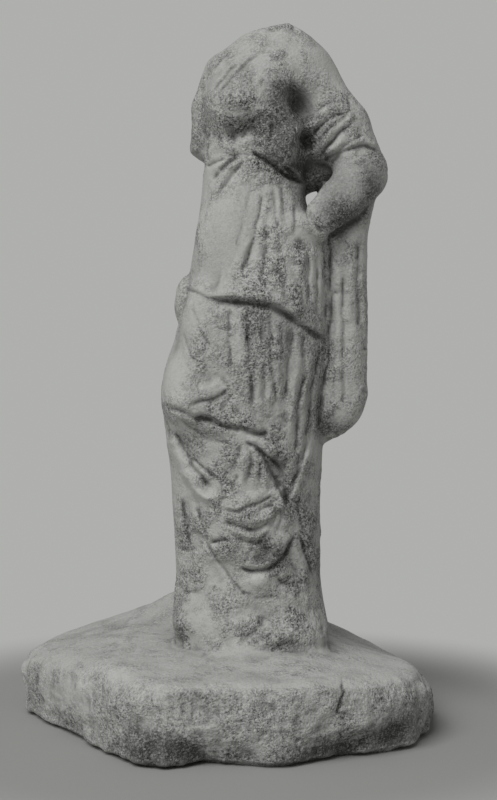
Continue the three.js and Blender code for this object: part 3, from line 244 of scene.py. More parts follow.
    ("groove", 2.8, 4.2, [(13.9, 270.6), (19.2, 259.9), (25, 248.1), (31.3, 235.3)], 18, 0.20),
    ("groove", 2.4, 6.5, [(33.3, 241.1), (36.7, 231.2), (37.7, 221.4)], 18, 0.30),
    ("groove", 1.5, 3.4, [(50.9, 275.3), (47.9, 259.9), (43.1, 242.6), (37.7, 227.2)]),
    ("ridge", 3.4, 3.2, [(61, 278.5), (53.4, 259.5), (45.5, 240.5), (38.7, 220.4)]),
    ("ridge", 2, 1.8, [(28.4, 233.5), (33.3, 222.6), (39.2, 210.6)]),
    ("groove", 1.1, 1.4, [(46.1, 226.7), (50.1, 206.8), (56.2, 186.6)]),
    ("hem", 1.1, 2.4, [(-27.4, 220.1), (-10.1, 220.5), (2.4, 224.4), (13.9, 228.7), (24.5, 235)], 7, 0.12),
    ("ridge", 3.2, 2.2, [(-25.4, 228.2), (-8.2, 230.2), (8.2, 234), (18.7, 239.8)]),
    ("ridge", 2.8, 2.2, [(-27.3, 215.9), (-12, 211.6), (1.4, 208.2), (14.9, 210.2), (24.5, 217.9)]),
    ("groove", 1.2, 2.6, [(-25.4, 210.2), (-12, 204.4), (1.4, 199.6), (13, 202.5), (22.5, 211.1)]),
    ("ridge", 1.8, 3, [(-20.6, 203.4), (-8.2, 196.7), (3.4, 192.3), (13, 195.7), (20.6, 203.4)]),
    ("groove", 1.2, 2, [(-15.8, 195.7), (-4.3, 189), (7.2, 187), (16.8, 191.9)]),
    ("groove", 1.1, 1.6, [(25.5, 224.2), (26, 210.7), (18.8, 198.1)]),
    ("groove", 1.1, 1.2, [(30.3, 220.3), (30.3, 206.8), (24.5, 193.3)]),
    ("groove", 1.1, 1.4, [(13, 219.4), (22.6, 225.1), (29.3, 230)]),
    ("groove", 1.2, 2.4, [(-35.1, 185.3), (-26.4, 188.7), (-17.8, 190.6)], 18, 0.25),
    ("groove", 1.4, 2, [(-66.1, 231.1), (-62.1, 211.8), (-59.6, 196.3), (-59.2, 180.5)]),
    ("groove", 1.2, 1.4, [(-51, 220.8), (-46.1, 205.5), (-38.2, 188.3)]),
    ("ridge", 3.6, 1.6, [(-70.4, 230.3), (-68.4, 210.7), (-65.4, 191.4)]),
    ("ridge", 3, 1.8, [(-55.9, 226.3), (-49, 207.2), (-41.2, 188.1)]),
    ("groove", 1.2, 2, [(-73.9, 177.8), (-65.4, 177.4), (-57.2, 176.8), (-50.1, 180.6)], 18, 0.25),
    ("hem", 1.7, 5.4, [(-7.2, 164.9), (1.4, 161.5), (13, 162.9), (23.5, 165.8), (31.2, 171.6), (37, 181.3), (42.7, 195.7)], 14, 0.10),
    ("groove", 2.4, 2.4, [(9.1, 191.9), (15.8, 184.2), (18.7, 174.5)], 18, 0.30),
    ("groove", 2, 2.2, [(1.4, 171.6), (12, 174.5), (20.6, 178.4)], 18, 0.30),
    ("groove", 2.4, 2, [(25.5, 181), (30.3, 174.2), (30.3, 167.5)], 18, 0.30),
    ("hem", 1.2, 2.8, [(8.2, 135.2), (-1.4, 136.7), (-7.2, 139.6), (-14.9, 147.3), (-24.6, 158.9), (-34.2, 173.9), (-42.8, 189.4)], 15, 0.14),
    ("groove", 7, 2.4, [(-16.9, 144.9), (-27.5, 157.5), (-36.1, 173)], 18, 0.30),
    ("ridge", 6, 2.8, [(-0.5, 148.8), (11.1, 151.7), (22.6, 154.6)], 18, 0.30),
    ("groove", 1.2, 1.2, [(-4.3, 136.2), (10.1, 133.3), (26.5, 135.2)]),
    ("groove", 2.6, 2.4, [(27.5, 155.8), (31.4, 147.9), (42.2, 145.3), (54.2, 146.8)], 18, 0.25),
    ("ridge", 3.2, 3.2, [(42.2, 189.9), (47.2, 175.8), (54.2, 161.4), (62.4, 144.4)]),
    ("groove", 1.5, 3, [(49.1, 195.2), (53.2, 179.1), (58.3, 164.7), (65.6, 145.5)]),
    ("groove", 1.6, 2.2, [(37.3, 180.5), (41.2, 166.6), (48.2, 150.5)], 18, 0.25),
    ("groove", 2, 1.8, [(68.9, 158), (71, 138), (73.9, 118.1)]),
    ("groove", 1.2, 1.4, [(-69.8, 133.6), (-58.2, 135.7), (-44.2, 137.5)], 18, 0.25),
    ("groove", 4.6, 3.4, [(-67.5, 106.3), (-66.7, 95.4), (-64.9, 84.9)], 18, 0.30),
    ("groove", 4.2, 2.8, [(31.3, 120.4), (17.8, 113.6), (2.4, 102), (-10.1, 89.4)], 18, 0.30),
    ("groove", 1.3, 1.2, [(-17.8, 101.1), (-4.3, 106.9), (7.2, 112.7)], 18, 0.30),
    ("groove", 1.2, 1.1, [(-25.5, 93.3), (-12, 99.1), (-1.4, 103)], 18, 0.30),
    ("groove", 2.6, 2.4, [(20.7, 86.5), (30.3, 89.9), (43.8, 93.3), (57.3, 96.2)], 18, 0.30),
    ("ridge", 5, 2, [(36.3, 130.5), (50.1, 133), (64.2, 121.2)], 18, 0.30),
    ("ridge", 5, 2.2, [(13, 93.3), (30.3, 98.2), (49.5, 102)], 18, 0.30),
    ("groove", 1.3, 1.8, [(70.4, 104.4), (73.9, 92.5), (76.5, 82)], 18, 0.20),
    ("groove", 2.4, 4.6, [(71.5, 483), (80.3, 483.4), (91.9, 489.7), (102.6, 497.5), (112.3, 506.2), (119.1, 514)], 18, 0.20),
    ("groove", 1.3, 2.4, [(58.4, 508.2), (61.3, 498.6), (66.2, 489), (72.9, 482.2)], 18, 0.20),
    ("groove", 1.2, 2.2, [(91.6, 448.1), (91.7, 420.9), (92.3, 391.6), (92.3, 362.4), (92.4, 314.4)], 18, 0.10),
    ("groove", 1.4, 2.3, [(106, 483.4), (106.3, 454.2), (107.1, 421), (108.2, 389.7)], 18, 0.10),
    ("groove", 3.4, 1.4, [(108.1, 487.4), (109.1, 450.4), (110.2, 411.3), (111.3, 370.1)], 18, 0.10),
    ("groove", 1.1, 1, [(83.3, 457.8), (83.5, 391.6), (82.6, 323.2)]),
    ("ridge", 3.4, 1.2, [(98.9, 479.2), (100, 420.9), (101.1, 352.6)]),
    ("ridge", 3, 1, [(87.2, 469.5), (87.5, 333)]),
    ("groove", 1, 1.3, [(80.6, 379), (87.4, 380.4), (96.2, 381.9), (105, 383.3)]),
    ("groove", 1.6, 2.2, [(83.4, 429.6), (86.3, 427.7), (88.3, 425.7)]),
    ("groove", 2, 2.4, [(111.9, 376), (115.9, 371.1)], 18, 0.30),
    ("groove", 2, 2.2, [(112, 334.6), (117, 328.7)], 18, 0.30),
]
# rough places on the front: centre x, z, half sizes, amount
ROUGH = [
    (25.5, 620.3, 10, 20, 0.45), (18.7, 594.7, 14, 26, 0.35), (3.4, 591.8, 14, 8, 0.25), (40, 593.9, 8, 8, 0.2),
    (8.2, 612.1, 26, 9, 0.4), (34.5, 653.5, 14, 28, 0.3), (31.3, 620.5, 12, 14, 0.45), (1.4, 586.1, 28, 12, 0.45),
    (33.3, 574.4, 20, 30, 0.6), (13, 554.8, 18, 12, 0.45), (62.5, 578.6, 16, 24, 0.3), (41, 613.3, 10, 22, 0.45),
    (-25.7, 629.9, 30, 40, 0.12), (94.9, 590.3, 24, 18, 0.25), (114.7, 547.3, 17, 18, 0.3), (69.4, 500, 10, 12, 0.6),
    (80.2, 494.1, 9, 8, 0.4), (14.8, 460, 6, 26, 0.55), (29.1, 460.1, 5, 20, 0.45), (49.4, 456.6, 8, 14, 0.55),
    (48.5, 473, 7, 7, 0.5), (47.5, 422, 8, 10, 0.45), (-4.3, 433.3, 14, 6, 0.3), (-2.4, 420.9, 28, 3.5, 0.5),
    (-34.9, 377, 16, 22, 0.4), (-33.9, 360.8, 18, 12, 0.35), (10, 393.2, 14, 24, 0.5), (-0.5, 377, 5, 40, 0.35),
    (25.3, 367.5, 14, 14, 0.25), (49.5, 391.4, 14, 12, 0.35), (67.7, 362.4, 6, 40, 0.35), (70.3, 323, 8, 20, 0.35),
    (1.4, 301.6, 34, 9, 0.45), (-41.7, 310.9, 14, 5, 0.3), (26.4, 278.2, 14, 14, 0.45), (33.3, 246.9, 10, 18, 0.55),
    (-21.6, 261.9, 10, 20, 0.3), (-42, 248.7, 12, 10, 0.35), (-0.5, 216.4, 32, 9, 0.45), (-22.7, 181.2, 26, 12, 0.25),
    (20.8, 181.2, 18, 18, 0.6), (35.3, 163.1, 16, 16, 0.55), (54.1, 206.4, 14, 40, 0.45), (62.4, 165.9, 10, 24, 0.4),
    (40.2, 130.2, 20, 14, 0.45), (20.7, 114.2, 22, 16, 0.34), (1.4, 96.3, 20, 10, 0.45), (40.3, 91, 24, 8, 0.22),
    (-65.6, 98.1, 8, 12, 0.6), (-55.2, 151.6, 14, 12, 0.4), (-59.1, 196.3, 10, 20, 0.25), (50, 110.3, 20, 12, 0.25),
    (92, 470.4, 12, 18, 0.35), (80.4, 322.8, 10, 24, 0.25), (85.4, 295.1, 14, 8, 0.4), (92.1, 372.1, 10, 10, 0.1),
    (-11.9, 446.7, 8, 12, 0.05), (-47.3, 461.7, 3, 18, 0.2),
]
# smooth places, in the same way
SMOOTH = [
    (-31.6, 628.7, 20, 20, 0.3), (-8.1, 377, 5, 30, 0.15), (-50.8, 403.1, 8, 20, 0.2), (102, 350.4, 10, 30, 0.15),
    (35.9, 386.6, 5, 14, 0.3), (-25.5, 492.6, 32, 52, 0.36), (-31.3, 447.2, 20, 16, 0.28),
    (-73.3, 372.1, 8, 50, 0.12), (72.4, 655.6, 22, 26, 0.3), (-13.2, 668, 18, 12, 0.2), (-34.8, 646.7, 16, 30, 0.15),
    (-64.9, 381.9, 12, 40, 0.25), (-70.5, 350.8, 12, 20, 0.2), (93.1, 539.4, 14, 18, 0.3), (82.2, 523.6, 16, 10, 0.2),
    (-34.9, 335.9, 14, 6, 0.15), (-10, 386.5, 8, 30, 0.2), (-31.4, 159.5, 14, 14, 0.4), (9.2, 149.6, 17, 9, 0.05),
    (-66.9, 266.7, 7, 22, 0.3), (-48.9, 236.7, 12, 9, 0.34), (-67.6, 164.8, 7, 10, 0.2), (-32.2, 271.4, 12, 14, 0.2),
    (-56.9, 236.1, 12, 14, 0.35), (95.1, 342.5, 10, 24, 0.2), (95, 406.5, 10, 24, 0.1), (49.5, 362.6, 6, 8, 0.3),
    (34.9, 386.6, 6, 10, 0.3), (67.4, 430.3, 10, 30, 0.15), (48.2, 528, 8, 20, 0.25), (6.3, 152.5, 8, 5, 0.1),
    (-75.8, 223.6, 6, 50, 0.2),
]
# stains and painted shade (under the chest, between chest and sleeve, under the forearm, at the waist, along hems, at
# the foot of the mantle, on the block's right end); pale places with a minus sign: paler stone, and painted light on
# places the lamp leaves darker
STAINS_SHADE_AND_LIGHT = [
    (22.6, 616.2, 10, 20, 0.24), (17.8, 587.1, 12, 20, 0.24), (30.3, 622.4, 6, 14, 0.25), (-12, 583.6, 12, 7, 0.06),
    (3.4, 591.8, 12, 8, 0.04), (13, 598.5, 7, 8, 0.1), (-53.6, 572.7, 9, 14, 0.42), (-55.6, 598.1, 5, 20, 0.16),
    (34.9, 357.9, 36, 60, 0.06), (1.4, 396.1, 5, 22, 0.3), (2.4, 341.8, 3, 30, 0.3), (15.7, 391.3, 6, 20, 0.2),
    (36.8, 385.6, 6, 18, 0.4), (52.5, 374.1, 4, 14, 0.3), (68.8, 350.7, 4, 34, 0.25), (58.6, 327.6, 3, 30, 0.22),
    (47.7, 312.5, 3, 30, 0.22), (28.2, 351.2, 4, 14, 0.15), (74.5, 297.1, 9, 12, 0.6), (92.3, 295.1, 16, 6, 0.4),
    (-15.8, 299.6, 12, 3.5, 0.35), (9.1, 294.8, 10, 4, 0.35), (-41.7, 308, 11, 3.5, 0.35), (13.8, 416.1, 26, 4, 0.3),
    (41.7, 404.7, 12, 6, 0.4), (60.4, 391.5, 8, 5, 0.35), (34.2, 574.5, 18, 28, 0.64), (-25.7, 631.9, 30, 44, 0.12),
    (7.2, 620.1, 26, 30, 0.08), (47, 592.8, 9, 5, 0.3), (22.6, 265.7, 9, 6, 0.45), (26.5, 250, 6, 10, 0.4),
    (15, 182.3, 9, 9, 0.3), (8.2, 170.7, 9, 3.5, 0.35), (-51, 117.6, 16, 18, 0.12), (46.2, 546.3, 13, 8, 0.75),
    (62.5, 549.2, 14, 12, 0.45), (27.4, 624.3, 9, 13, 0.34), (13, 554.8, 10, 7, 0.2), (95, 501.9, 18, 6, 0.25),
    (115.7, 533.5, 15, 18, 0.2), (22.6, 555, 10, 8, 0.25), (46.9, 615.9, 10, 14, 0.55), (56.4, 575.1, 7, 12, 0.45),
    (-1.4, 585.2, 18, 8, 0.3), (48.5, 472, 6, 6, 0.35), (74.3, 501.9, 12, 8, 0.35), (88.1, 494.1, 18, 6, 0.35),
    (88.1, 493.1, 10, 6, 0.45), (99.9, 501.9, 10, 7, 0.5), (110.8, 511.8, 9, 8, 0.5), (119.6, 523.6, 7, 9, 0.3),
    (53.5, 529, 5, 16, 0.55), (59.5, 566.8, 10, 9, 0.4), (65.4, 584.4, 9, 10, 0.36), (75.3, 561, 9, 6, 0.4),
    (85.1, 588.3, 24, 22, 0.02), (-22.6, 482.7, 28, 36, 0.05), (86.2, 529.6, 16, 14, 0.32),
    (92.1, 513.8, 14, 12, 0.46), (75.3, 514.8, 10, 10, 0.12), (80.3, 537.4, 12, 14, 0.12), (30.3, 572.4, 18, 26, 0.1),
    (-3.3, 408.5, 34, 8, 0.1), (15.7, 377, 22, 30, 0.07), (95.1, 324.8, 16, 30, 0.06), (20.5, 456.2, 24, 22, -0.3),
    (-62.6, 372.2, 20, 50, 0.05), (-57.8, 251.7, 14, 24, -0.26), (-41.2, 155, 34, 26, -0.1),
    (50.1, 129.2, 30, 20, -0.25), (9.2, 149.6, 20, 12, -0.1), (-3.4, 223.2, 28, 16, -0.1),
    (1.4, 177.5, 20, 10, -0.06), (78.3, 505.9, 14, 10, 0.22), (120.7, 539.4, 14, 22, 0.42),
    (107.8, 551.2, 16, 12, 0.1), (39.7, 381.8, 10, 34, 0.1), (52.6, 323.9, 10, 44, 0.06), (68.1, 323.2, 6, 40, 0.12),
    (37.2, 233.1, 5, 11, 0.6), (28.4, 264.6, 7, 8, 0.3), (56.2, 206.2, 12, 46, 0.2), (62.4, 165.9, 8, 30, 0.18),
    (18.8, 173.5, 16, 14, 0.34), (31.4, 176.9, 8, 14, 0.25), (40.2, 151.2, 12, 8, 0.3), (-57.1, 180.8, 8, 4, 0.3),
    (-65.6, 97, 7, 11, 0.5), (7.2, 100.4, 14, 5, 0.3), (40.3, 89, 24, 4, 0.35), (-61.1, 211.9, 5, 26, 0.28),
    (13, 208.5, 20, 10, 0.1), (12.9, 391.3, 14, 22, 0.14), (-10, 315, 16, 8, 0.12), (-8.1, 421.8, 34, 3, 0.25),
    (85.1, 470.4, 8, 16, 0.12), (107.8, 431.1, 3, 60, 0.15), (80.4, 298.1, 14, 8, 0.2), (-25.6, 163.6, 12, 14, 0.1),
    (110.9, 327.7, 5, 10, 0.12), (10.1, 150.5, 19, 10, -0.62), (-65.9, 264.8, 7, 22, -0.12), (-43, 234, 17, 7, -0.08),
    (-35.3, 109.4, 30, 20, -0.12), (50.2, 165.8, 6, 20, -0.3), (-46.9, 238.7, 14, 10, -0.14),
    (-2.4, 192.1, 22, 3, -0.35), (-4.3, 264.9, 5, 14, -0.2), (-66.5, 169.1, 6, 8, -0.3), (-32.9, 335, 12, 5, -0.25),
    (-70.4, 338.2, 10, 20, -0.1), (-25.4, 293.8, 24, 5, -0.2), (49.4, 450.8, 6, 10, -0.2),
    (40.7, 463.1, 5, 20, -0.12), (22.5, 477.4, 4, 40, -0.12), (-15.8, 456.4, 8, 14, -0.12),
    (-35.6, 557.1, 8, 8, -0.1), (50.8, 687.4, 10, 6, -0.08), (-47.3, 89.4, 30, 6, -0.15), (50, 118, 18, 12, -0.12),
    (93.1, 396.7, 9, 14, -0.12), (-23.7, 565.3, 20, 6, -0.1), (-80.4, 14.9, 34, 20, 1.), (-51.3, 11.2, 18, 17, 0.75),
    (-87.7, 0.2, 22, 7, 0.5), (-24.1, 2, 22, 8, 0.45), (-0.5, 14.9, 20, 10, 0.25), (49.5, 2, 42, 10, 0.8),
    (87.7, 11.2, 28, 9, 0.85), (124, 20.4, 24, 12, 0.85), (162.9, 40.5, 14, 30, 0.22), (63.1, 16.7, 20, 8, 0.25),
    (142.1, 27.7, 14, 16, 0.45), (-98.5, 20.4, 14, 10, 0.25), (12.3, -4.4, 30, 3.5, 0.5), (46.7, 36.8, 20, 16, 0.06),
    (19.5, -1.7, 24, 4, 0.35), (-53.1, 68.9, 26, 8, 0.18), (33.1, 55.1, 16, 10, 0.14), (-35, 20.4, 9, 9, -0.95),
    (-18.6, 27.7, 9, 6, -0.4), (1.4, 2.9, 14, 5, -0.2), (-107.5, 55.1, 34, 24, -0.22), (-62.2, 44.2, 18, 10, -0.15),
    (-7.7, 50.6, 24, 8, -0.16), (46.8, 20.4, 20, 8, -0.18), (110.3, 36.8, 18, 14, -0.1), (15.9, 33.2, 16, 8, -0.12),
    (187, 11.2, 12, 34, 1.3), (173, -16.2, 18, 14, 0.6), (189, 29.5, 8, 14, 0.3), (157.9, -23.3, 14, 8, 0.25),
    (-212.1, 43.8, 10, 20, 0.26), (-218.2, 19.4, 6, 12, 0.12), (-190, 19.4, 20, 16, -0.15),
]

# ---------------------------------------------------------------- small mathematics
def soft(a, b, v):
    t = np.clip((v - a) / (b - a), 0, 1)
    return t * t * (3 - 2 * t)

def join(a, b, k):
    h = np.maximum(k - np.abs(a - b), 0) / k
    return np.minimum(a, b) - h * h * (k * 0.25)

def meet(a, b, k):
    return -join(-a, -b, k)

def section(rows, z):
    r = np.array(rows, float)
    zs = r[:, 0]
    z = np.clip(z, zs[0], zs[-1])
    i = np.clip(np.searchsorted(zs, z, side="right") - 1, 0, len(zs) - 2)
    h = zs[i + 1] - zs[i]
    t = (z - zs[i]) / h
    out = []
    for c in range(1, r.shape[1]):
        v = r[:, c]
        m = np.gradient(v, zs)
        out.append((2 * t**3 - 3 * t**2 + 1) * v[i] + (t**3 - 2 * t**2 + t) * m[i] * h
                   + (-2 * t**3 + 3 * t**2) * v[i + 1] + (t**3 - t**2) * m[i + 1] * h)
    return [o.astype(f32)[None, None, :] for o in out]

def loft(rows, X, Y, z, power):
    xl, xr, front, back = section(rows, z)
    dx = X - (xl + xr) / 2
    a = (xr - xl) / 2
    b = front + (back - front) * soft(-0.25, 0.25, Y / front)
    s = ((np.abs(dx) / a) ** power + (np.abs(Y) / b) ** power) ** (1.0 / power) + f32(1e-6)
    rho = np.sqrt(dx * dx + Y * Y)
    return rho - rho / s

def egg(X, Y, Z, c, r, tilt):
    dx, dy, dz = X - f32(c[0]), Y - f32(c[1]), Z - f32(c[2])
    if tilt:
        ca, sa = f32(math.cos(math.radians(tilt))), f32(math.sin(math.radians(tilt)))
        dx, dz = dx * ca + dz * sa, -dx * sa + dz * ca
    r = [f32(v) for v in r]
    k0 = np.sqrt((dx / r[0]) ** 2 + (dy / r[1]) ** 2 + (dz / r[2]) ** 2) + f32(1e-6)
    k1 = np.sqrt((dx / r[0] ** 2) ** 2 + (dy / r[1] ** 2) ** 2 + (dz / r[2] ** 2) ** 2) + f32(1e-6)
    return k0 * (k0 - 1) / k1

def limb(X, Y, Z, a, b, ra, rb):
    a = [f32(v) for v in a]
    d = [f32(q) - p for p, q in zip(a, b)]
    t = np.clip(((X - a[0]) * d[0] + (Y - a[1]) * d[1] + (Z - a[2]) * d[2]) / (d[0]**2 + d[1]**2 + d[2]**2), 0, 1)
    q = np.sqrt((X - a[0] - t * d[0]) ** 2 + (Y - a[1] - t * d[1]) ** 2 + (Z - a[2] - t * d[2]) ** 2)
    return q - (f32(ra) + t * f32(rb - ra))

def hash3(i, j, k, seed):
    h = (i.astype(np.uint32) * np.uint32(73856093)) ^ (j.astype(np.uint32) * np.uint32(19349663)) \
        ^ (k.astype(np.uint32) * np.uint32(83492791)) ^ np.uint32((seed * 2654435761) % 4294967296)
    h ^= h >> np.uint32(15)
    h *= np.uint32(2246822519)
    h ^= h >> np.uint32(13)
    h *= np.uint32(3266489917)
    h ^= h >> np.uint32(16)
    return h.astype(np.float64) / 4294967296.0

def noise(p, size, seed):
    """smooth value noise between -1 and 1, at points p, with cells of the given size"""
    q = p / size + 1000.0 + seed * 7.31
    i = np.floor(q)
    f = q - i
    f = f * f * f * (f * (f * 6 - 15) + 10)
    i = i.astype(np.int64)
    out = np.zeros(len(p))
    for a in (0, 1):
        for b in (0, 1):
            for c in (0, 1):
                w = (f[:, 0] if a else 1 - f[:, 0]) * (f[:, 1] if b else 1 - f[:, 1]) * (f[:, 2] if c else 1 - f[:, 2])
                out += w * hash3(i[:, 0] + a, i[:, 1] + b, i[:, 2] + c, seed)
    return out * 2 - 1

def cells(p, size, seed):
    """distance to the nearest of scattered points, about 0 to 1"""
    q = p / size + 500.0 + seed * 3.7
    i = np.floor(q).astype(np.int64)
    f = q - i
    best = np.full(len(p), 9.0)
    for a in (-1, 0, 1):
        for b in (-1, 0, 1):
            for c in (-1, 0, 1):
                x = a + hash3(i[:, 0] + a, i[:, 1] + b, i[:, 2] + c, seed) - f[:, 0]
                y = b + hash3(i[:, 0] + a, i[:, 1] + b, i[:, 2] + c, seed + 1) - f[:, 1]
                z = c + hash3(i[:, 0] + a, i[:, 1] + b, i[:, 2] + c, seed + 2) - f[:, 2]
                best = np.minimum(best, x * x + y * y + z * z)
    return np.sqrt(best)

# ---------------------------------------------------------------- folds drawn on an elevation
def spline(points, n=30):
    p = np.array(points, float)
    if len(p) == 2:
        t = np.linspace(0, 1, 12)[:, None]
        return p[0] * (1 - t) + p[1] * t
    q = np.vstack([2 * p[0] - p[1], p, 2 * p[-1] - p[-2]])
    out, m = [], max(5, n // (len(p) - 1))
    for i in range(1, len(q) - 2):
        for t in np.linspace(0, 1, m, endpoint=(i == len(q) - 3)):
            out.append(0.5 * (2 * q[i] + (q[i + 1] - q[i - 1]) * t + (2 * q[i - 1] - 5 * q[i] + 4 * q[i + 1] - q[i + 2]) * t * t
                              + (3 * q[i] - q[i - 1] - 3 * q[i + 1] + q[i + 2]) * t**3))
    return np.array(out)

def carve(D, xs, zs, kind, w, depth, points, wide=18.0, ends=0.18, lines=False):
    """adds one fold to the relief D: the line wavers and its depth varies, as on worn stone;
    with lines, adds only the narrow bottom of a groove and the foot under a hem, where dirt lies and painted shade goes"""
    c = spline(points)
    run = np.concatenate([[0], np.cumsum(np.hypot(*np.diff(c, axis=0).T))])
    ph = points[0][0] * 0.7 + points[0][1] * 1.3
    sway = (0.55 * np.sin(run / 7.5 + ph) + 0.40 * np.sin(run / 3.4 + 2 * ph)) * min(1.0, run[-1] / 40)
    t = np.gradient(c, axis=0)
    t /= np.hypot(t[:, 0], t[:, 1])[:, None] + 1e-9
    c = c + np.stack([-t[:, 1], t[:, 0]], 1) * sway[:, None]
    reach = max(w * 5.5, wide * 2.0 if kind == "hem" else 0)
    i0, i1 = np.searchsorted(xs, [c[:, 0].min() - reach, c[:, 0].max() + reach])
    j0, j1 = np.searchsorted(zs, [c[:, 1].min() - reach, c[:, 1].max() + reach])
    if i1 <= i0 or j1 <= j0:
        return
    gx, gz = xs[i0:i1][:, None], zs[j0:j1][None, :]
    best = np.full((i1 - i0, j1 - j0), 1e18)
    side, along = np.zeros_like(best), np.zeros_like(best)
    seg = np.diff(c, axis=0)
    length = np.hypot(seg[:, 0], seg[:, 1])
    run = np.concatenate([[0], np.cumsum(length)])
    for k in range(len(seg)):
        ex, ez = seg[k]
        wx, wz = gx - c[k, 0], gz - c[k, 1]
        t = np.clip((wx * ex + wz * ez) / (ex * ex + ez * ez + 1e-12), 0, 1)
        d = (wx - t * ex) ** 2 + (wz - t * ez) ** 2
        m = d < best
        best = np.where(m, d, best)
        side = np.where(m, ex * wz - ez * wx, side)
        along = np.where(m, run[k] + t * length[k], along)
    r = np.sqrt(best)
    u = along / run[-1]
    taper = soft(0, ends, u) * soft(0, ends, 1 - u) if ends > 0 else np.ones_like(u)
    vary = 1 + 0.26 * np.sin(along / 8.3 + ph) + 0.16 * np.sin(along / 3.7 + 3 * ph)
    if lines:
        if kind == "groove" and w < 3.2:
            v = min(1.0, depth / 3.6) * np.exp(-(r / (0.6 + 0.55 * w)) ** 2) * taper * vary
        elif kind == "hem":
            s = np.where(side >= 0, r, -r)
            v = 0.70 * min(1.0, depth / 6.0) * np.exp(-((s + w * 0.9) / (0.5 + 0.7 * w)) ** 2) * taper * vary
        else:
            return
        D[i0:i1, j0:j1] = np.maximum(D[i0:i1, j0:j1], v)
        return
    if kind == "groove":
        q = w * (0.5 + 0.5 * taper)
        v = -depth * (0.74 * np.exp(-np.abs(r / (1.05 * q)) ** 1.6) + 0.34 * np.exp(-(r / (2.6 * q)) ** 2))
    elif kind == "ridge":
        q = w * (0.6 + 0.4 * taper)
        v = depth * np.exp(-(r / (1.2 * q)) ** 2)
        vary = 1 + 0.5 * (vary - 1)
    else:
        s = np.where(side >= 0, r, -r)
        v = depth / (1 + np.exp(-np.clip(s / w * 2.6, -30, 30))) * np.exp(-(np.maximum(s, 0) / wide) ** 2) \
            - 0.6 * depth * vary * np.exp(-((s + w * 1.1) / (w * 1.3)) ** 2)
        vary = 1
    D[i0:i1, j0:j1] += v * taper * vary

# ---------------------------------------------------------------- the block
def outline(x, y, plan):
    plan = np.array(plan, float)
    d, sign = np.full(x.shape, 1e18), np.ones(x.shape)
    for i in range(len(plan)):
        a, b = plan[i], plan[(i + 1) % len(plan)]
        e = b - a
        wx, wy = x - a[0], y - a[1]
        t = np.clip((wx * e[0] + wy * e[1]) / (e @ e), 0, 1)
        d = np.minimum(d, (wx - t * e[0]) ** 2 + (wy - t * e[1]) ** 2)
        c1, c2, c3 = y >= a[1], y < b[1], e[0] * wy > e[1] * wx
        sign = np.where((c1 & c2 & c3) | (~c1 & ~c2 & ~c3), -sign, sign)
    return (sign * np.sqrt(d)).astype(f32)

def top_of_block(x, y):
    right = np.maximum(x - 58, 0)
    h = BASE_TOP - 1 - 0.15 * np.maximum(-x - 125, 0) - right * (0.13 + 0.23 * soft(-60, 110, y)) - 0.022 * np.maximum(x - 152, 0) ** 2
    h = h + 8 * np.exp(-((x + 10)**2 / 95**2 + (y - 20) ** 2 / 90**2)) - 5 * soft(-80, -165, y)
    h = h + 30 * np.exp(-((x + 66) ** 2 / 46**2 + (y - 135) ** 2 / 60**2))       # the mound behind the figure
    return h.astype(f32)

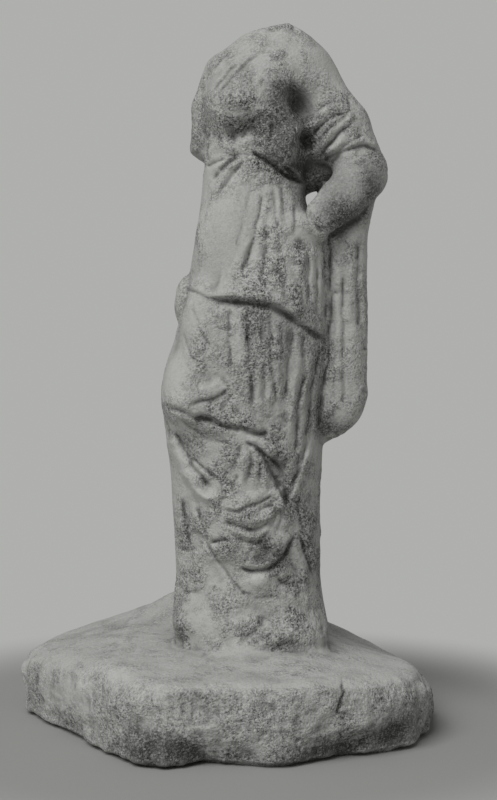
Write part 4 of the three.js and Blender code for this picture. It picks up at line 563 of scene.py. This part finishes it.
# ---------------------------------------------------------------- the field
def field(h):
    xs, ys, zs = np.arange(-238, 208, h), np.arange(-190, 220, h), np.arange(-h * 0.5, 703 + 2 * h, h)
    F = np.full((len(xs), len(ys), len(zs)), 30.0, f32)
    def window(x0, x1, y0, y1, z0, z1):
        s = [slice(*np.searchsorted(g, v)) for g, v in ((xs, (x0, x1)), (ys, (y0, y1)), (zs, (z0, z1)))]
        return tuple(s), xs[s[0]].astype(f32)[:, None, None], ys[s[1]].astype(f32)[None, :, None], zs[s[2]].astype(f32)[None, None, :]
    w, X, Y, Z = window(-122, 150, -116, 96, 38, 712)
    B = np.minimum(loft(BODY, X, Y, zs[w[2]], 2.25), 30)
    for m in MASSES:
        if m[0] == "limb":
            B = join(B, limb(X, Y, Z, *m[2:6]), f32(m[6]))
        elif m[0] == "egg":
            B = join(B, egg(X, Y, Z, *m[2:5]), f32(m[5]))
        elif m[0] == "hollow":
            B = meet(B, -egg(X, Y, Z, *m[2:5]), f32(m[5]))
        else:
            C = meet(meet(loft(MANTLE, X, Y, zs[w[2]], 3.2), 272 - Z, 4.0), Z - 540, 4.0)
            B = join(B, np.minimum(C, 30), f32(m[2]))
    B = meet(B, Z - np.minimum(NECK_BREAK + 0.26 * (X - 40), NECK_BREAK - 0.62 * (X - 40)), 3.0)
    D = np.zeros((len(xs), len(zs)))
    for fold in FOLDS:
        carve(D, xs, zs, *fold)
    middle = np.where((X > 82) & (Z < 512), f32(-4), f32(-6))
    B = B - D[w[0], w[2]].astype(f32)[:, None, :] * soft(0, 20, -Y + middle + 4)
    # plainer folds round the sides and the back
    ang = np.arctan2(X, Y)                     # 0 at the back
    side = soft(-22, 8, Y) * soft(92, 130, Z)
    skirt = 1 - soft(380, 440, Z)
    wave = np.cos(ang * 9.0 + 0.006 * Z + 1.2 * np.sin(Z * 0.011 + ang * 2))
    pleat = -np.maximum(1 - np.sqrt(wave ** 2 + f32(0.012)), 0) ** 1.7 * 4.6 * skirt * (0.55 + 0.45 * np.sin(ang * 3.1 + 1.0))
    upper = soft(395, 430, Z) * (1 - soft(540, 580, Z))
    wave2 = np.cos(ang * 6.0 + 0.8 * np.sin(Z * 0.013) + 0.5)
    pleat = pleat - np.maximum(1 - np.sqrt(wave2 ** 2 + f32(0.012)), 0) ** 1.7 * 2.8 * upper
    hemline = 410 - X * 0.32 + 4 * np.sin(ang * 5)
    hem = 3.6 * soft(-1.5, 1.5, Z - hemline) * np.exp(-(np.maximum(Z - hemline, 0) / 22) ** 2) - 2.4 * np.exp(-((Z - hemline + 3) / 4) ** 2)
    hem = hem * (1 - np.exp(-((X + 64) / 18) ** 2 - ((Z - 424) / 30) ** 2))
    girdle = 2.2 * np.exp(-((Z - 566 + 0.06 * X) / 6) ** 2) - 2.6 * np.exp(-((Z - 553 + 0.06 * X) / 5) ** 2)
    body_only = 1 - soft(78, 92, X)
    B = B - (pleat + hem + girdle).astype(f32) * side * body_only
    F[w] = np.minimum(F[w], B)
    # the block
    w, X, Y, Z = window(-240, 210, -192, 222, -h, 122)
    gx, gy = np.meshgrid(xs[w[0]], ys[w[1]], indexing="ij")
    zz = Z / f32(BASE_TOP)
    high = soft(0.04, 0.42, zz)
    plan = outline(gx, gy, PLAN)[:, :, None] * high + outline(gx, gy, FOOT)[:, :, None] * (1 - high)
    plan = plan - 4 * high * (1 - soft(0.55, 1.05, zz)) - 2 * (1 - high)
    plan = plan + 8 * (1 - soft(0.5, 5.5, Z))              # the underside is set back a little
    edge = (16 + 9 * soft(-60, -150, gx) + 8 * soft(80, 150, gx)).astype(f32)[:, :, None]
    G = meet(plan, Z - top_of_block(gx, gy)[:, :, None], edge)
    G = join(F[w], G, 8 + (20 * np.exp(-((X + 12) / 40) ** 2) + 14 * np.exp(-((X - 70) / 16) ** 2)) * soft(0, 20, -Y))
    F[w] = np.maximum(G, -Z)
    return F, xs, ys, zs

def net(F, xs, ys, zs, h):
    # fill pinched places first, so that every edge has two faces
    for _ in range(6):
        ins, n = F < 0, 0
        for ax, bx in ((0, 1), (0, 2), (1, 2)):
            def part(i, j):
                s = [slice(None)] * 3
                s[ax] = slice(i, F.shape[ax] - 1 + i)
                s[bx] = slice(j, F.shape[bx] - 1 + j)
                return tuple(s)
            a, b, c, d = ins[part(0, 0)], ins[part(1, 0)], ins[part(0, 1)], ins[part(1, 1)]
            bad = (a == d) & (b == c) & (a != b)
            m = np.zeros(F.shape, bool)
            m[part(1, 0)] |= bad & a
            m[part(0, 0)] |= bad & ~a
            n += int(m.sum())
            F[m] = -0.05
            ins = F < 0
        if not n:
            break
    ins = F < 0
    count = np.zeros(tuple(v - 1 for v in F.shape), np.uint8)
    for a in (0, 1):
        for b in (0, 1):
            for c in (0, 1):
                count += ins[a:a + count.shape[0], b:b + count.shape[1], c:c + count.shape[2]]
    act = np.flatnonzero((count > 0) & (count < 8))
    ci, cj, ck = np.unravel_index(act, count.shape)
    vid = np.full(count.shape, -1, np.int32)
    vid[ci, cj, ck] = np.arange(len(act))
    pos, cnt = np.zeros((len(act), 3)), np.zeros(len(act))
    for p in [(a, b, c) for a in (0, 1) for b in (0, 1) for c in (0, 1)]:
        for ax in range(3):
            if p[ax]:
                continue
            q = list(p)
            q[ax] = 1
            fa = F[ci + p[0], cj + p[1], ck + p[2]].astype(float)
            fb = F[ci + q[0], cj + q[1], ck + q[2]].astype(float)
            m = (fa < 0) != (fb < 0)
            t = np.where(m, fa / (fa - fb + 1e-30), 0)
            v = np.tile(np.array(p, float), (len(act), 1))
            v[:, ax] += t
            pos[m] += v[m]
            cnt[m] += 1
    pos = pos / cnt[:, None] + np.stack([ci, cj, ck], 1)
    V = np.stack([xs[0] + pos[:, 0] * h, ys[0] + pos[:, 1] * h, zs[0] + pos[:, 2] * h], 1)
    quads = []
    for ax in range(3):
        o1, o2 = [a for a in range(3) if a != ax]
        lo, hi = [slice(None)] * 3, [slice(None)] * 3
        lo[ax], hi[ax] = slice(0, -1), slice(1, None)
        e = np.argwhere(ins[tuple(lo)] != ins[tuple(hi)])
        e = e[(e[:, o1] > 0) & (e[:, o2] > 0) & (e[:, o1] < F.shape[o1] - 1) & (e[:, o2] < F.shape[o2] - 1)]
        first = ins[e[:, 0], e[:, 1], e[:, 2]]
        def cell(da, db):
            q = e.copy()
            q[:, o1] -= da
            q[:, o2] -= db
            return vid[q[:, 0], q[:, 1], q[:, 2]]
        Q = np.stack([cell(1, 1), cell(0, 1), cell(0, 0), cell(1, 0)], 1)
        flip = first if ax != 1 else ~first
        Q[~flip] = Q[~flip][:, ::-1]
        quads.append(Q)
    return V, np.concatenate(quads)

def new_mesh(name, V, Q):
    me = bpy.data.meshes.new(name)
    me.vertices.add(len(V))
    me.vertices.foreach_set("co", V.astype(f32).ravel())
    k = Q.shape[1]
    me.loops.add(len(Q) * k)
    me.loops.foreach_set("vertex_index", Q.astype(np.int32).ravel())
    me.polygons.add(len(Q))
    me.polygons.foreach_set("loop_start", np.arange(0, len(Q) * k, k, dtype=np.int32))
    me.polygons.foreach_set("loop_total", np.full(len(Q), k, np.int32))
    me.update(calc_edges=True)
    me.polygons.foreach_set("use_smooth", np.ones(len(Q), bool))
    return me

def read(me):
    V = np.empty(len(me.vertices) * 3, f32)
    me.vertices.foreach_get("co", V)
    N = np.empty(len(me.vertices) * 3, f32)
    me.vertices.foreach_get("normal", N)
    E = np.empty(len(me.edges) * 2, np.int32)
    me.edges.foreach_get("vertices", E)
    return V.reshape(-1, 3).astype(float), N.reshape(-1, 3).astype(float), E.reshape(-1, 2)

def spread(v, E, rounds, amount=0.5):
    """smooths values over neighbouring vertices"""
    n = len(v)
    deg = np.bincount(E.ravel(), minlength=n).astype(float)
    v = v.copy()
    two = v.ndim == 2
    for _ in range(rounds):
        s = np.zeros_like(v)
        if two:
            for c in range(v.shape[1]):
                s[:, c] = np.bincount(E[:, 0], v[E[:, 1], c], n) + np.bincount(E[:, 1], v[E[:, 0], c], n)
            v += amount * (s / deg[:, None] - v)
        else:
            s = np.bincount(E[:, 0], v[E[:, 1]], n) + np.bincount(E[:, 1], v[E[:, 0]], n)
            v += amount * (s / deg - v)
    return v

# ---------------------------------------------------------------- where the stone is worn, and how
def zones(V, rows):
    front = soft(0, 1, (46 - V[:, 1]) / 40)
    r = np.zeros(len(V))
    for x, z, a, b, s in rows:
        r += s * np.exp(-((V[:, 0] - x) / a) ** 2 - ((V[:, 2] - z) / b) ** 2)
    return r * front

def worn_zones(V, N):
    r = 0.34 + zones(V, ROUGH) - zones(V, SMOOTH) - 0.10 * soft(0, 1, (V[:, 1] - 10) / 40)
    r = r + 0.16 * noise(V, 44, 3) + 0.16 * noise(V, 19, 4)
    base = 1 - soft(70, 88, V[:, 2])
    upward = soft(0.45, 0.85, N[:, 2]) * (1 - soft(96, 120, V[:, 2]))
    r = np.maximum(r, (0.56 + 0.34 * (1 - soft(6, 44, V[:, 2])) + 0.20 * noise(V, 36, 5) - 0.22 * soft(-120, -190, V[:, 0])) * base)
    r = r + upward * (0.16 + 0.12 * noise(V, 20, 6) - r)
    r = np.maximum(r, 0.6 * soft(680, 692, V[:, 2]))
    stump = np.exp(-((V[:, 0] + 42) / 22) ** 2 - ((V[:, 2] - 560) / 9) ** 2)
    r = np.maximum(r, 0.6 * stump)
    # wear comes in clusters
    n = noise(V * np.array([1, 1, 0.8]), 15, 7) + 0.7 * noise(V, 7, 8)
    soften = 0.6 * base
    r = r * (soften + (1 - soften) * (0.35 + 0.85 * soft(-0.55, 0.45, n))) + 0.10 * n * (r > 0.15)
    return np.clip(r, 0.03, 1.0)

def crack(V, w):
    """down the upper face of the block"""
    x = 83.5 + 1.3 * np.sin(V[:, 2] * 0.23) + 0.7 * np.sin(V[:, 2] * 0.61 + 1) + 0.13 * (V[:, 2] - 56)
    return np.exp(-((V[:, 0] - x) / w) ** 2) * soft(40, 48, V[:, 2]) * (1 - soft(66, 74, V[:, 2])) * soft(0, 1, -V[:, 1] / 40)

def wear_depth(V, N):
    r = worn_zones(V, N)
    base = 1 - soft(74, 96, V[:, 2])
    side = base * (1 - soft(0.5, 0.85, N[:, 2]))
    back = soft(0, 1, (V[:, 1] - 10) / 40)
    fine = 1 - 0.45 * back
    d = 0.8 * noise(V, 48, 11) * (0.5 + 0.9 * base) + 0.9 * noise(V, 24, 12) * (0.30 + 0.6 * r + 0.5 * base)
    # hewn face of the block: broad lumps, shallow flakes
    d = d + (2.2 * noise(V, 60, 13) + 2.2 * (0.5 - np.abs(noise(V, 34, 14))) + 2.0 * noise(V, 17, 19) + 1.4 * (0.4 - np.abs(noise(V, 10, 22)))) * side
    d = d + fine * (0.45 * noise(V, 11, 15) * (0.10 + 1.0 * r) + 0.42 * noise(V, 6.0, 16) * (0.06 + 1.05 * r) + 0.50 * noise(V, 3.3, 23) * (0.03 + 1.0 * r))
    where = np.clip(0.30 + 1.2 * noise(V, 15, 17), 0, 1.3)
    d = d - fine * np.clip(0.40 - cells(V, 8.0, 21), 0, 1) * 5.0 * (0.02 + 1.0 * r) * where
    d = d - fine * np.clip(0.40 - cells(V, 4.6, 31), 0, 1) * 4.6 * (0.02 + 1.0 * r) * where
    neck = soft(672, 690, V[:, 2])
    d = d + 1.1 * noise(V, 10, 18) * neck
    stump = np.exp(-((V[:, 0] + 42) / 20) ** 2 - ((V[:, 2] - 560) / 10) ** 2)
    d = d + 1.0 * noise(V, 9, 20) * stump
    # a fine crack down the face of the block
    return d - 2.3 * crack(V, 1.1)

def masks(me, V, N, E):
    r = worn_zones(V, N)
    sm = spread(V, E, 6, 0.6)
    wide = spread(sm, E, 40, 0.8)
    cav = ((sm - V) * N).sum(1)
    hollow = ((wide - sm) * N).sum(1)
    base = 1 - soft(78, 96, V[:, 2])
    upward = soft(0.35, 0.9, N[:, 2]) * base
    # stains and painted shade from the table; painted light paling the block's upward faces, more to the right where
    # the figure's shadow falls; the crack darker; the figure a little darker, the block's sides a little paler
    stain_shade_and_light = zones(V, STAINS_SHADE_AND_LIGHT) - (0.22 + 0.44 * soft(50, 130, V[:, 0])) * upward + 1.3 * crack(V, 1.2) + 0.035 * (1 - base) - 0.09 * base * (1 - upward)
    # dirt and painted shade in the fine folds and under the hems, from the map of their lines
    i = np.clip((V[:, 0] - cx[0]) / (cx[1] - cx[0]), 0, len(cx) - 1.001)
    j = np.clip((V[:, 2] - cz[0]) / (cz[1] - cz[0]), 0, len(cz) - 1.001)
    i0, j0 = i.astype(int), j.astype(int)
    fi, fj = i - i0, j - j0
    line = LINES[i0, j0] * (1 - fi) * (1 - fj) + LINES[i0 + 1, j0] * fi * (1 - fj) + LINES[i0, j0 + 1] * (1 - fi) * fj + LINES[i0 + 1, j0 + 1] * fi * fj
    crease_dirt_and_shade = line * soft(0, 1, (-V[:, 1]) / 16) * np.clip(0.72 + 0.6 * noise(V, 5, 9) + 0.8 * noise(V, 2.8, 45), 0, 1.5)
    # broad patches on the face of the block
    face = base * (1 - upward)
    stain_shade_and_light = stain_shade_and_light + face * (0.18 * noise(V, 30, 41) + 0.20 * noise(V, 11, 42)) + (1 - base) * 0.05 * noise(V, 22, 43)
    r = r * (1 - 0.35 * face) + face * 0.24 * noise(V, 16, 44)
    r = np.clip(r + 0.35 * np.clip(stain_shade_and_light, 0, 1), 0.03, 1.0)
    def put(name, v):
        a = me.attributes.new(name, "FLOAT", "POINT")
        a.data.foreach_set("value", v.astype(f32))
    put("worn", r)
    # pit: small hollows and bumps; the hollows for dirt and painted shade
    put("pit", np.clip(cav / 0.9, -1, 1))
    # hollow: broad recesses, for painted shade
    put("hollow", np.clip(hollow / 4.0, -1, 1))
    put("stain_shade_and_light", np.clip(stain_shade_and_light, -1, 1))
    put("crease_dirt_and_shade", np.clip(crease_dirt_and_shade, 0, 1))


print("start %.1f s" % (time.time() - T0))
F, xs, ys, zs = field(STEP)
print("field %.1f s" % (time.time() - T0), F.shape)
V, Q = net(F, xs, ys, zs, STEP)
del F
me = new_mesh("worn", V, Q)
V, N, E = read(me)
print("net %.1f s" % (time.time() - T0), len(V), len(Q))

# ---- wear: the surface moves along its normal
V0 = spread(V, E, 1, 0.5)
flat = V[:, 2] < 1.2
wear = wear_depth(V0, N)
V1 = V0 + N * (wear * soft(0, 7, V0[:, 2]))[:, None]
V1[flat, 2] = 0.0
V1[:, 2] = np.maximum(V1[:, 2], 0.0)
V1[~flat & (V1[:, 2] < 0.4), 2] = 0.4
top = V1[:, 2].max()
V1[:, 2] *= 1.0 + (PARTS / top - 1.0) * soft(560, 690, V1[:, 2])
me.vertices.foreach_set("co", V1.astype(f32).ravel())
me.update()
tmp = bpy.data.objects.new("worn", me)
bpy.context.scene.collection.objects.link(tmp)
mod = tmp.modifiers.new("fewer", "DECIMATE")
mod.ratio = TRIANGLES / (2.0 * len(Q))
dg = bpy.context.evaluated_depsgraph_get()
fine = bpy.data.meshes.new_from_object(tmp.evaluated_get(dg))
bpy.data.objects.remove(tmp)
print("decimated %.1f s" % (time.time() - T0), len(fine.vertices), len(fine.polygons))

V, N, E = read(fine)
cx, cz = np.arange(-100, 130, 0.8), np.arange(60, 700, 0.8)
LINES = np.zeros((len(cx), len(cz)))
for fold in FOLDS:
    carve(LINES, cx, cz, *fold, lines=True)
masks(fine, V, N, E)
W = (V - np.array([CENTRE[0], CENTRE[1], 0.0])) * PART
W[:, 2] = np.minimum(W[:, 2], HEIGHT)
fine.vertices.foreach_set("co", W.astype(f32).ravel())
fine.update()
fine.polygons.foreach_set("use_smooth", np.ones(len(fine.polygons), bool))
fine.name = "statue_marble"
statue = bpy.data.objects.new("statue_marble", fine)
bpy.context.scene.collection.objects.link(statue)
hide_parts("draped_figure_on_base")
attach(statue, "root")

# ---------------------------------------------------------------- the marble
def node(t, kind, x=0, y=0, **props):
    n = t.nodes.new(kind)
    n.location = (x, y)
    for k, v in props.items():
        setattr(n, k, v)
    return n

def marble():
    m = bpy.data.materials.new("weathered_marble")
    m.use_nodes = True
    t = m.node_tree
    t.nodes.clear()
    L = t.links.new
    out = node(t, "ShaderNodeOutputMaterial", 1200, 0)
    b = node(t, "ShaderNodeBsdfPrincipled", 900, 0)
    L(b.outputs[0], out.inputs[0])
    b.inputs["Specular IOR Level"].default_value = 0.28
    b.inputs["IOR"].default_value = 1.5
    tc = node(t, "ShaderNodeTexCoord", -1400, 0)
    def att(name, y):
        return node(t, "ShaderNodeAttribute", -1400, y, attribute_name=name).outputs["Fac"]
    worn, pit, hollow_shade, stain_shade_and_light, crease_dirt_and_shade = att("worn", -300), att("pit", -450), att("hollow", -600), att("stain_shade_and_light", -750), att("crease_dirt_and_shade", -900)
    def nz(scale, detail, rough, y, distort=0.0):
        n = node(t, "ShaderNodeTexNoise", -1100, y)
        L(tc.outputs["Object"], n.inputs["Vector"])
        n.inputs["Scale"].default_value = scale
        n.inputs["Detail"].default_value = detail
        n.inputs["Roughness"].default_value = rough
        n.inputs["Distortion"].default_value = distort
        return n.outputs["Fac"]
    def ramp(src, stops, y, x=-850):
        n = node(t, "ShaderNodeValToRGB", x, y)
        L(src, n.inputs[0])
        e = n.color_ramp.elements
        while len(e) > len(stops):
            e.remove(e[-1])
        while len(e) < len(stops):
            e.new(0.5)
        for el, (p, c) in zip(e, stops):
            el.position = p
            el.color = (c, c, c, 1)
        return n.outputs[0]
    def math_(op, a, bb, y=0, x=-500, clamp=False):
        n = node(t, "ShaderNodeMath", x, y, operation=op, use_clamp=clamp)
        for i, v in enumerate((a, bb)):
            if isinstance(v, (int, float)):
                n.inputs[i].default_value = v
            else:
                L(v, n.inputs[i])
        return n.outputs[0]
    def mix(fac, a, bb, y=0, x=-200):
        n = node(t, "ShaderNodeMix", x, y, data_type="RGBA", blend_type="MIX")
        n.clamp_factor = True
        for i, v in ((0, fac), (6, a), (7, bb)):
            if isinstance(v, (int, float)):
                n.inputs[i].default_value = v
            elif isinstance(v, tuple):
                n.inputs[i].default_value = (*v, 1)
            else:
                L(v, n.inputs[i])
        return n.outputs[2]
    def affine(v, k, c, y=0):
        return math_("ADD", math_("MULTIPLY", v, k, y), c, y)
    cloud = ramp(nz(8.0, 6, 0.6, 400), [(0.32, 0.0), (0.68, 1.0)], 400)
    mott = ramp(nz(30.0, 5, 0.65, 200), [(0.36, 0.0), (0.64, 1.0)], 200)
    coarse, fine = nz(120.0, 3, 0.65, 0), nz(270.0, 2, 0.6, -100)
    dark = ramp(coarse, [(0.40, 1.0), (0.50, 0.0)], 0)
    dots = ramp(fine, [(0.40, 1.0), (0.49, 0.0)], -100)
    lite = ramp(fine, [(0.52, 0.0), (0.62, 1.0)], -200)
    # stone with clouds, stains, painted shade and painted light, then the grain: dark pits and pale crystals
    c = mix(cloud, (0.43, 0.43, 0.415), (0.52, 0.52, 0.505), y=300)
    c = mix(math_("MULTIPLY", mott, 0.5, 200), c, (0.56, 0.56, 0.545), y=200)
    # stains and painted shade darken the stone; pale places and painted light on the block's upward faces lighten it
    c = mix(math_("MULTIPLY", stain_shade_and_light, 1.15, 150, clamp=True), c, (0.08, 0.08, 0.076), y=150, x=-100)
    c = mix(math_("MULTIPLY", stain_shade_and_light, -0.8, 150, clamp=True), c, (0.66, 0.66, 0.645), y=120, x=0)
    c = mix(math_("MULTIPLY", dark, affine(worn, 0.42, 0.02, -60), 0), c, (0.13, 0.13, 0.123), y=100, x=100)
    c = mix(math_("MULTIPLY", dots, affine(worn, 0.75, 0.05, -120), -60), c, (0.11, 0.11, 0.104), y=50, x=150)
    keep = affine(math_("MAXIMUM", stain_shade_and_light, 0.0, 160), -0.5, 1.0, 160)      # fewer pale grains where it is stained or painted dark
    c = mix(math_("MULTIPLY", math_("MULTIPLY", lite, keep, -150), affine(worn, 0.50, 0.06, -160), -160), c, (0.70, 0.70, 0.68), y=0, x=200)
    spk = nz(430.0, 1, 0.5, -1300)
    blk = ramp(spk, [(0.33, 1.0), (0.41, 0.0)], -1300)
    wht = ramp(spk, [(0.60, 0.0), (0.67, 1.0)], -1400)
    c = mix(math_("MULTIPLY", blk, affine(worn, 1.1, 0.04, -1300), -1300, clamp=True), c, (0.035, 0.035, 0.033), y=20, x=230)
    c = mix(math_("MULTIPLY", math_("MULTIPLY", wht, keep, -1350), affine(worn, 0.7, 0.05, -1400), -1400, clamp=True), c, (0.74, 0.74, 0.72), y=-20, x=260)
    # darker in small hollows, with dirt and painted shade; paler on small bumps
    c = mix(math_("MULTIPLY", pit, 0.75, -300, clamp=True), c, (0.09, 0.09, 0.085), y=-100, x=300)
    c = mix(math_("MULTIPLY", pit, -0.30, -400, clamp=True), c, (0.62, 0.62, 0.60), y=-200, x=400)
    # painted shade in broad recesses
    c = mix(math_("MULTIPLY", hollow_shade, 0.30, -500, clamp=True), c, (0.13, 0.13, 0.124), y=-300, x=500)
    # painted shade and dirt in the fine folds and under the hems
    c = mix(math_("MULTIPLY", crease_dirt_and_shade, 0.42, -650, clamp=True), c, (0.08, 0.08, 0.076), y=-400, x=600)
    L(c, b.inputs["Base Color"])
    L(affine(fine, 0.10, 0.80, -600), b.inputs["Roughness"])
    # relief of the grain
    n1, n2 = nz(150.0, 4, 0.7, -700), nz(420.0, 2, 0.6, -850)
    vor = node(t, "ShaderNodeTexVoronoi", -1100, -1000)
    L(tc.outputs["Object"], vor.inputs["Vector"])
    vor.inputs["Scale"].default_value = 210.0
    holes = ramp(vor.outputs["Distance"], [(0.10, 0.0), (0.42, 1.0)], -1000)
    hgt = math_("ADD", math_("ADD", math_("MULTIPLY", n1, 1.2, -700), math_("MULTIPLY", n2, 0.5, -850), -750),
                math_("MULTIPLY", holes, 0.35, -1000), -800)
    hgt = math_("MULTIPLY", hgt, affine(worn, 1.0, 0.08, -900), -800, -300)
    bp = node(t, "ShaderNodeBump", 600, -500)
    bp.inputs["Strength"].default_value = 1.0
    bp.inputs["Distance"].default_value = 0.0060
    L(hgt, bp.inputs["Height"])
    L(bp.outputs[0], b.inputs["Normal"])
    return m
statue.data.materials.append(marble())

# ---------------------------------------------------------------- floor, light, camera
def studio():
    s = bpy.context.scene
    s.view_settings.view_transform = "Standard"
    R, n = 14.0, 96
    V = [(0, 0, -0.0002)] + [(R * math.cos(2 * math.pi * i / n), R * math.sin(2 * math.pi * i / n), -0.0002) for i in range(n)]
    me = bpy.data.meshes.new("floor")
    me.from_pydata(V, [], [(0, 1 + i, 1 + (i + 1) % n) for i in range(n)])
    fl = bpy.data.objects.new("floor", me)
    s.collection.objects.link(fl)
    fl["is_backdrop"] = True
    m = bpy.data.materials.new("pale_floor")
    m.use_nodes = True
    t = m.node_tree
    b = t.nodes["Principled BSDF"]
    b.inputs["Base Color"].default_value = (0.39, 0.39, 0.38, 1)
    b.inputs["Roughness"].default_value = 1.0
    b.inputs["Specular IOR Level"].default_value = 0.0
    # far from the part the floor passes into the colour of the room
    tc = node(t, "ShaderNodeTexCoord", -1100, -300)
    ln = node(t, "ShaderNodeVectorMath", -900, -300, operation="LENGTH")
    mr = node(t, "ShaderNodeMapRange", -700, -300)
    mr.inputs["From Min"].default_value = 0.41
    mr.inputs["From Max"].default_value = 0.72
    mr.interpolation_type = "SMOOTHSTEP"
    em = node(t, "ShaderNodeEmission", -300, -300)
    em.inputs[0].default_value = (*ROOM, 1)
    em.inputs[1].default_value = 1.0
    mx = node(t, "ShaderNodeMixShader", 100, -100)
    t.links.new(tc.outputs["Object"], ln.inputs[0])
    t.links.new(ln.outputs["Value"], mr.inputs["Value"])
    t.links.new(mr.outputs["Result"], mx.inputs[0])
    t.links.new(b.outputs[0], mx.inputs[1])
    t.links.new(em.outputs[0], mx.inputs[2])
    t.links.new(mx.outputs[0], t.nodes["Material Output"].inputs[0])
    me.materials.append(m)
    w = bpy.data.worlds.new("room")
    s.world = w
    w.use_nodes = True
    wt = w.node_tree
    bg = wt.nodes["Background"]
    bg.inputs[0].default_value = (*ROOM, 1)
    lp = node(wt, "ShaderNodeLightPath", -600, 0)
    st = node(wt, "ShaderNodeMapRange", -300, 0)
    st.inputs["To Min"].default_value = AMBIENT      # what the room gives as light
    st.inputs["To Max"].default_value = 1.0          # what the camera sees of it
    wt.links.new(lp.outputs["Is Camera Ray"], st.inputs["Value"])
    wt.links.new(st.outputs["Result"], bg.inputs[1])
    def area(name, at, to, size, power):
        l = bpy.data.lights.new(name, "AREA")
        l.size = size
        l.energy = power
        o = bpy.data.objects.new(name, l)
        o.location = at
        o.rotation_euler = (Vector(to) - Vector(at)).to_track_quat("-Z", "Y").to_euler()
        s.collection.objects.link(o)
    area("key", (-2.8, -4.6, 6.3), (0, 0, 0.4), 5.4, KEY)
    cam = bpy.data.cameras.new("camera")
    cam.sensor_width = 36.0
    cam.lens = 36.0 * FOCAL / 800.0
    o = bpy.data.objects.new("camera", cam)
    o.location = ((0 - CENTRE[0]) * PART, (-FOCAL - CENTRE[1]) * PART, EYE * PART)
    o.rotation_euler = (math.radians(90) - math.atan(55.0 / FOCAL), 0, 0)
    s.collection.objects.link(o)
    s.camera = o
FOCAL, EYE = 1500.0, 377.0   # the camera, in parts: its distance and its height over the floor
ROOM = (0.43, 0.435, 0.42)
KEY = 430.0
AMBIENT = 0.47
studio()


now_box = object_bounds()
def plain(b):
    return [[float(v) for v in p] for p in b]
print("done %.1f s" % (time.time() - T0), plain(cad_box), plain(now_box))
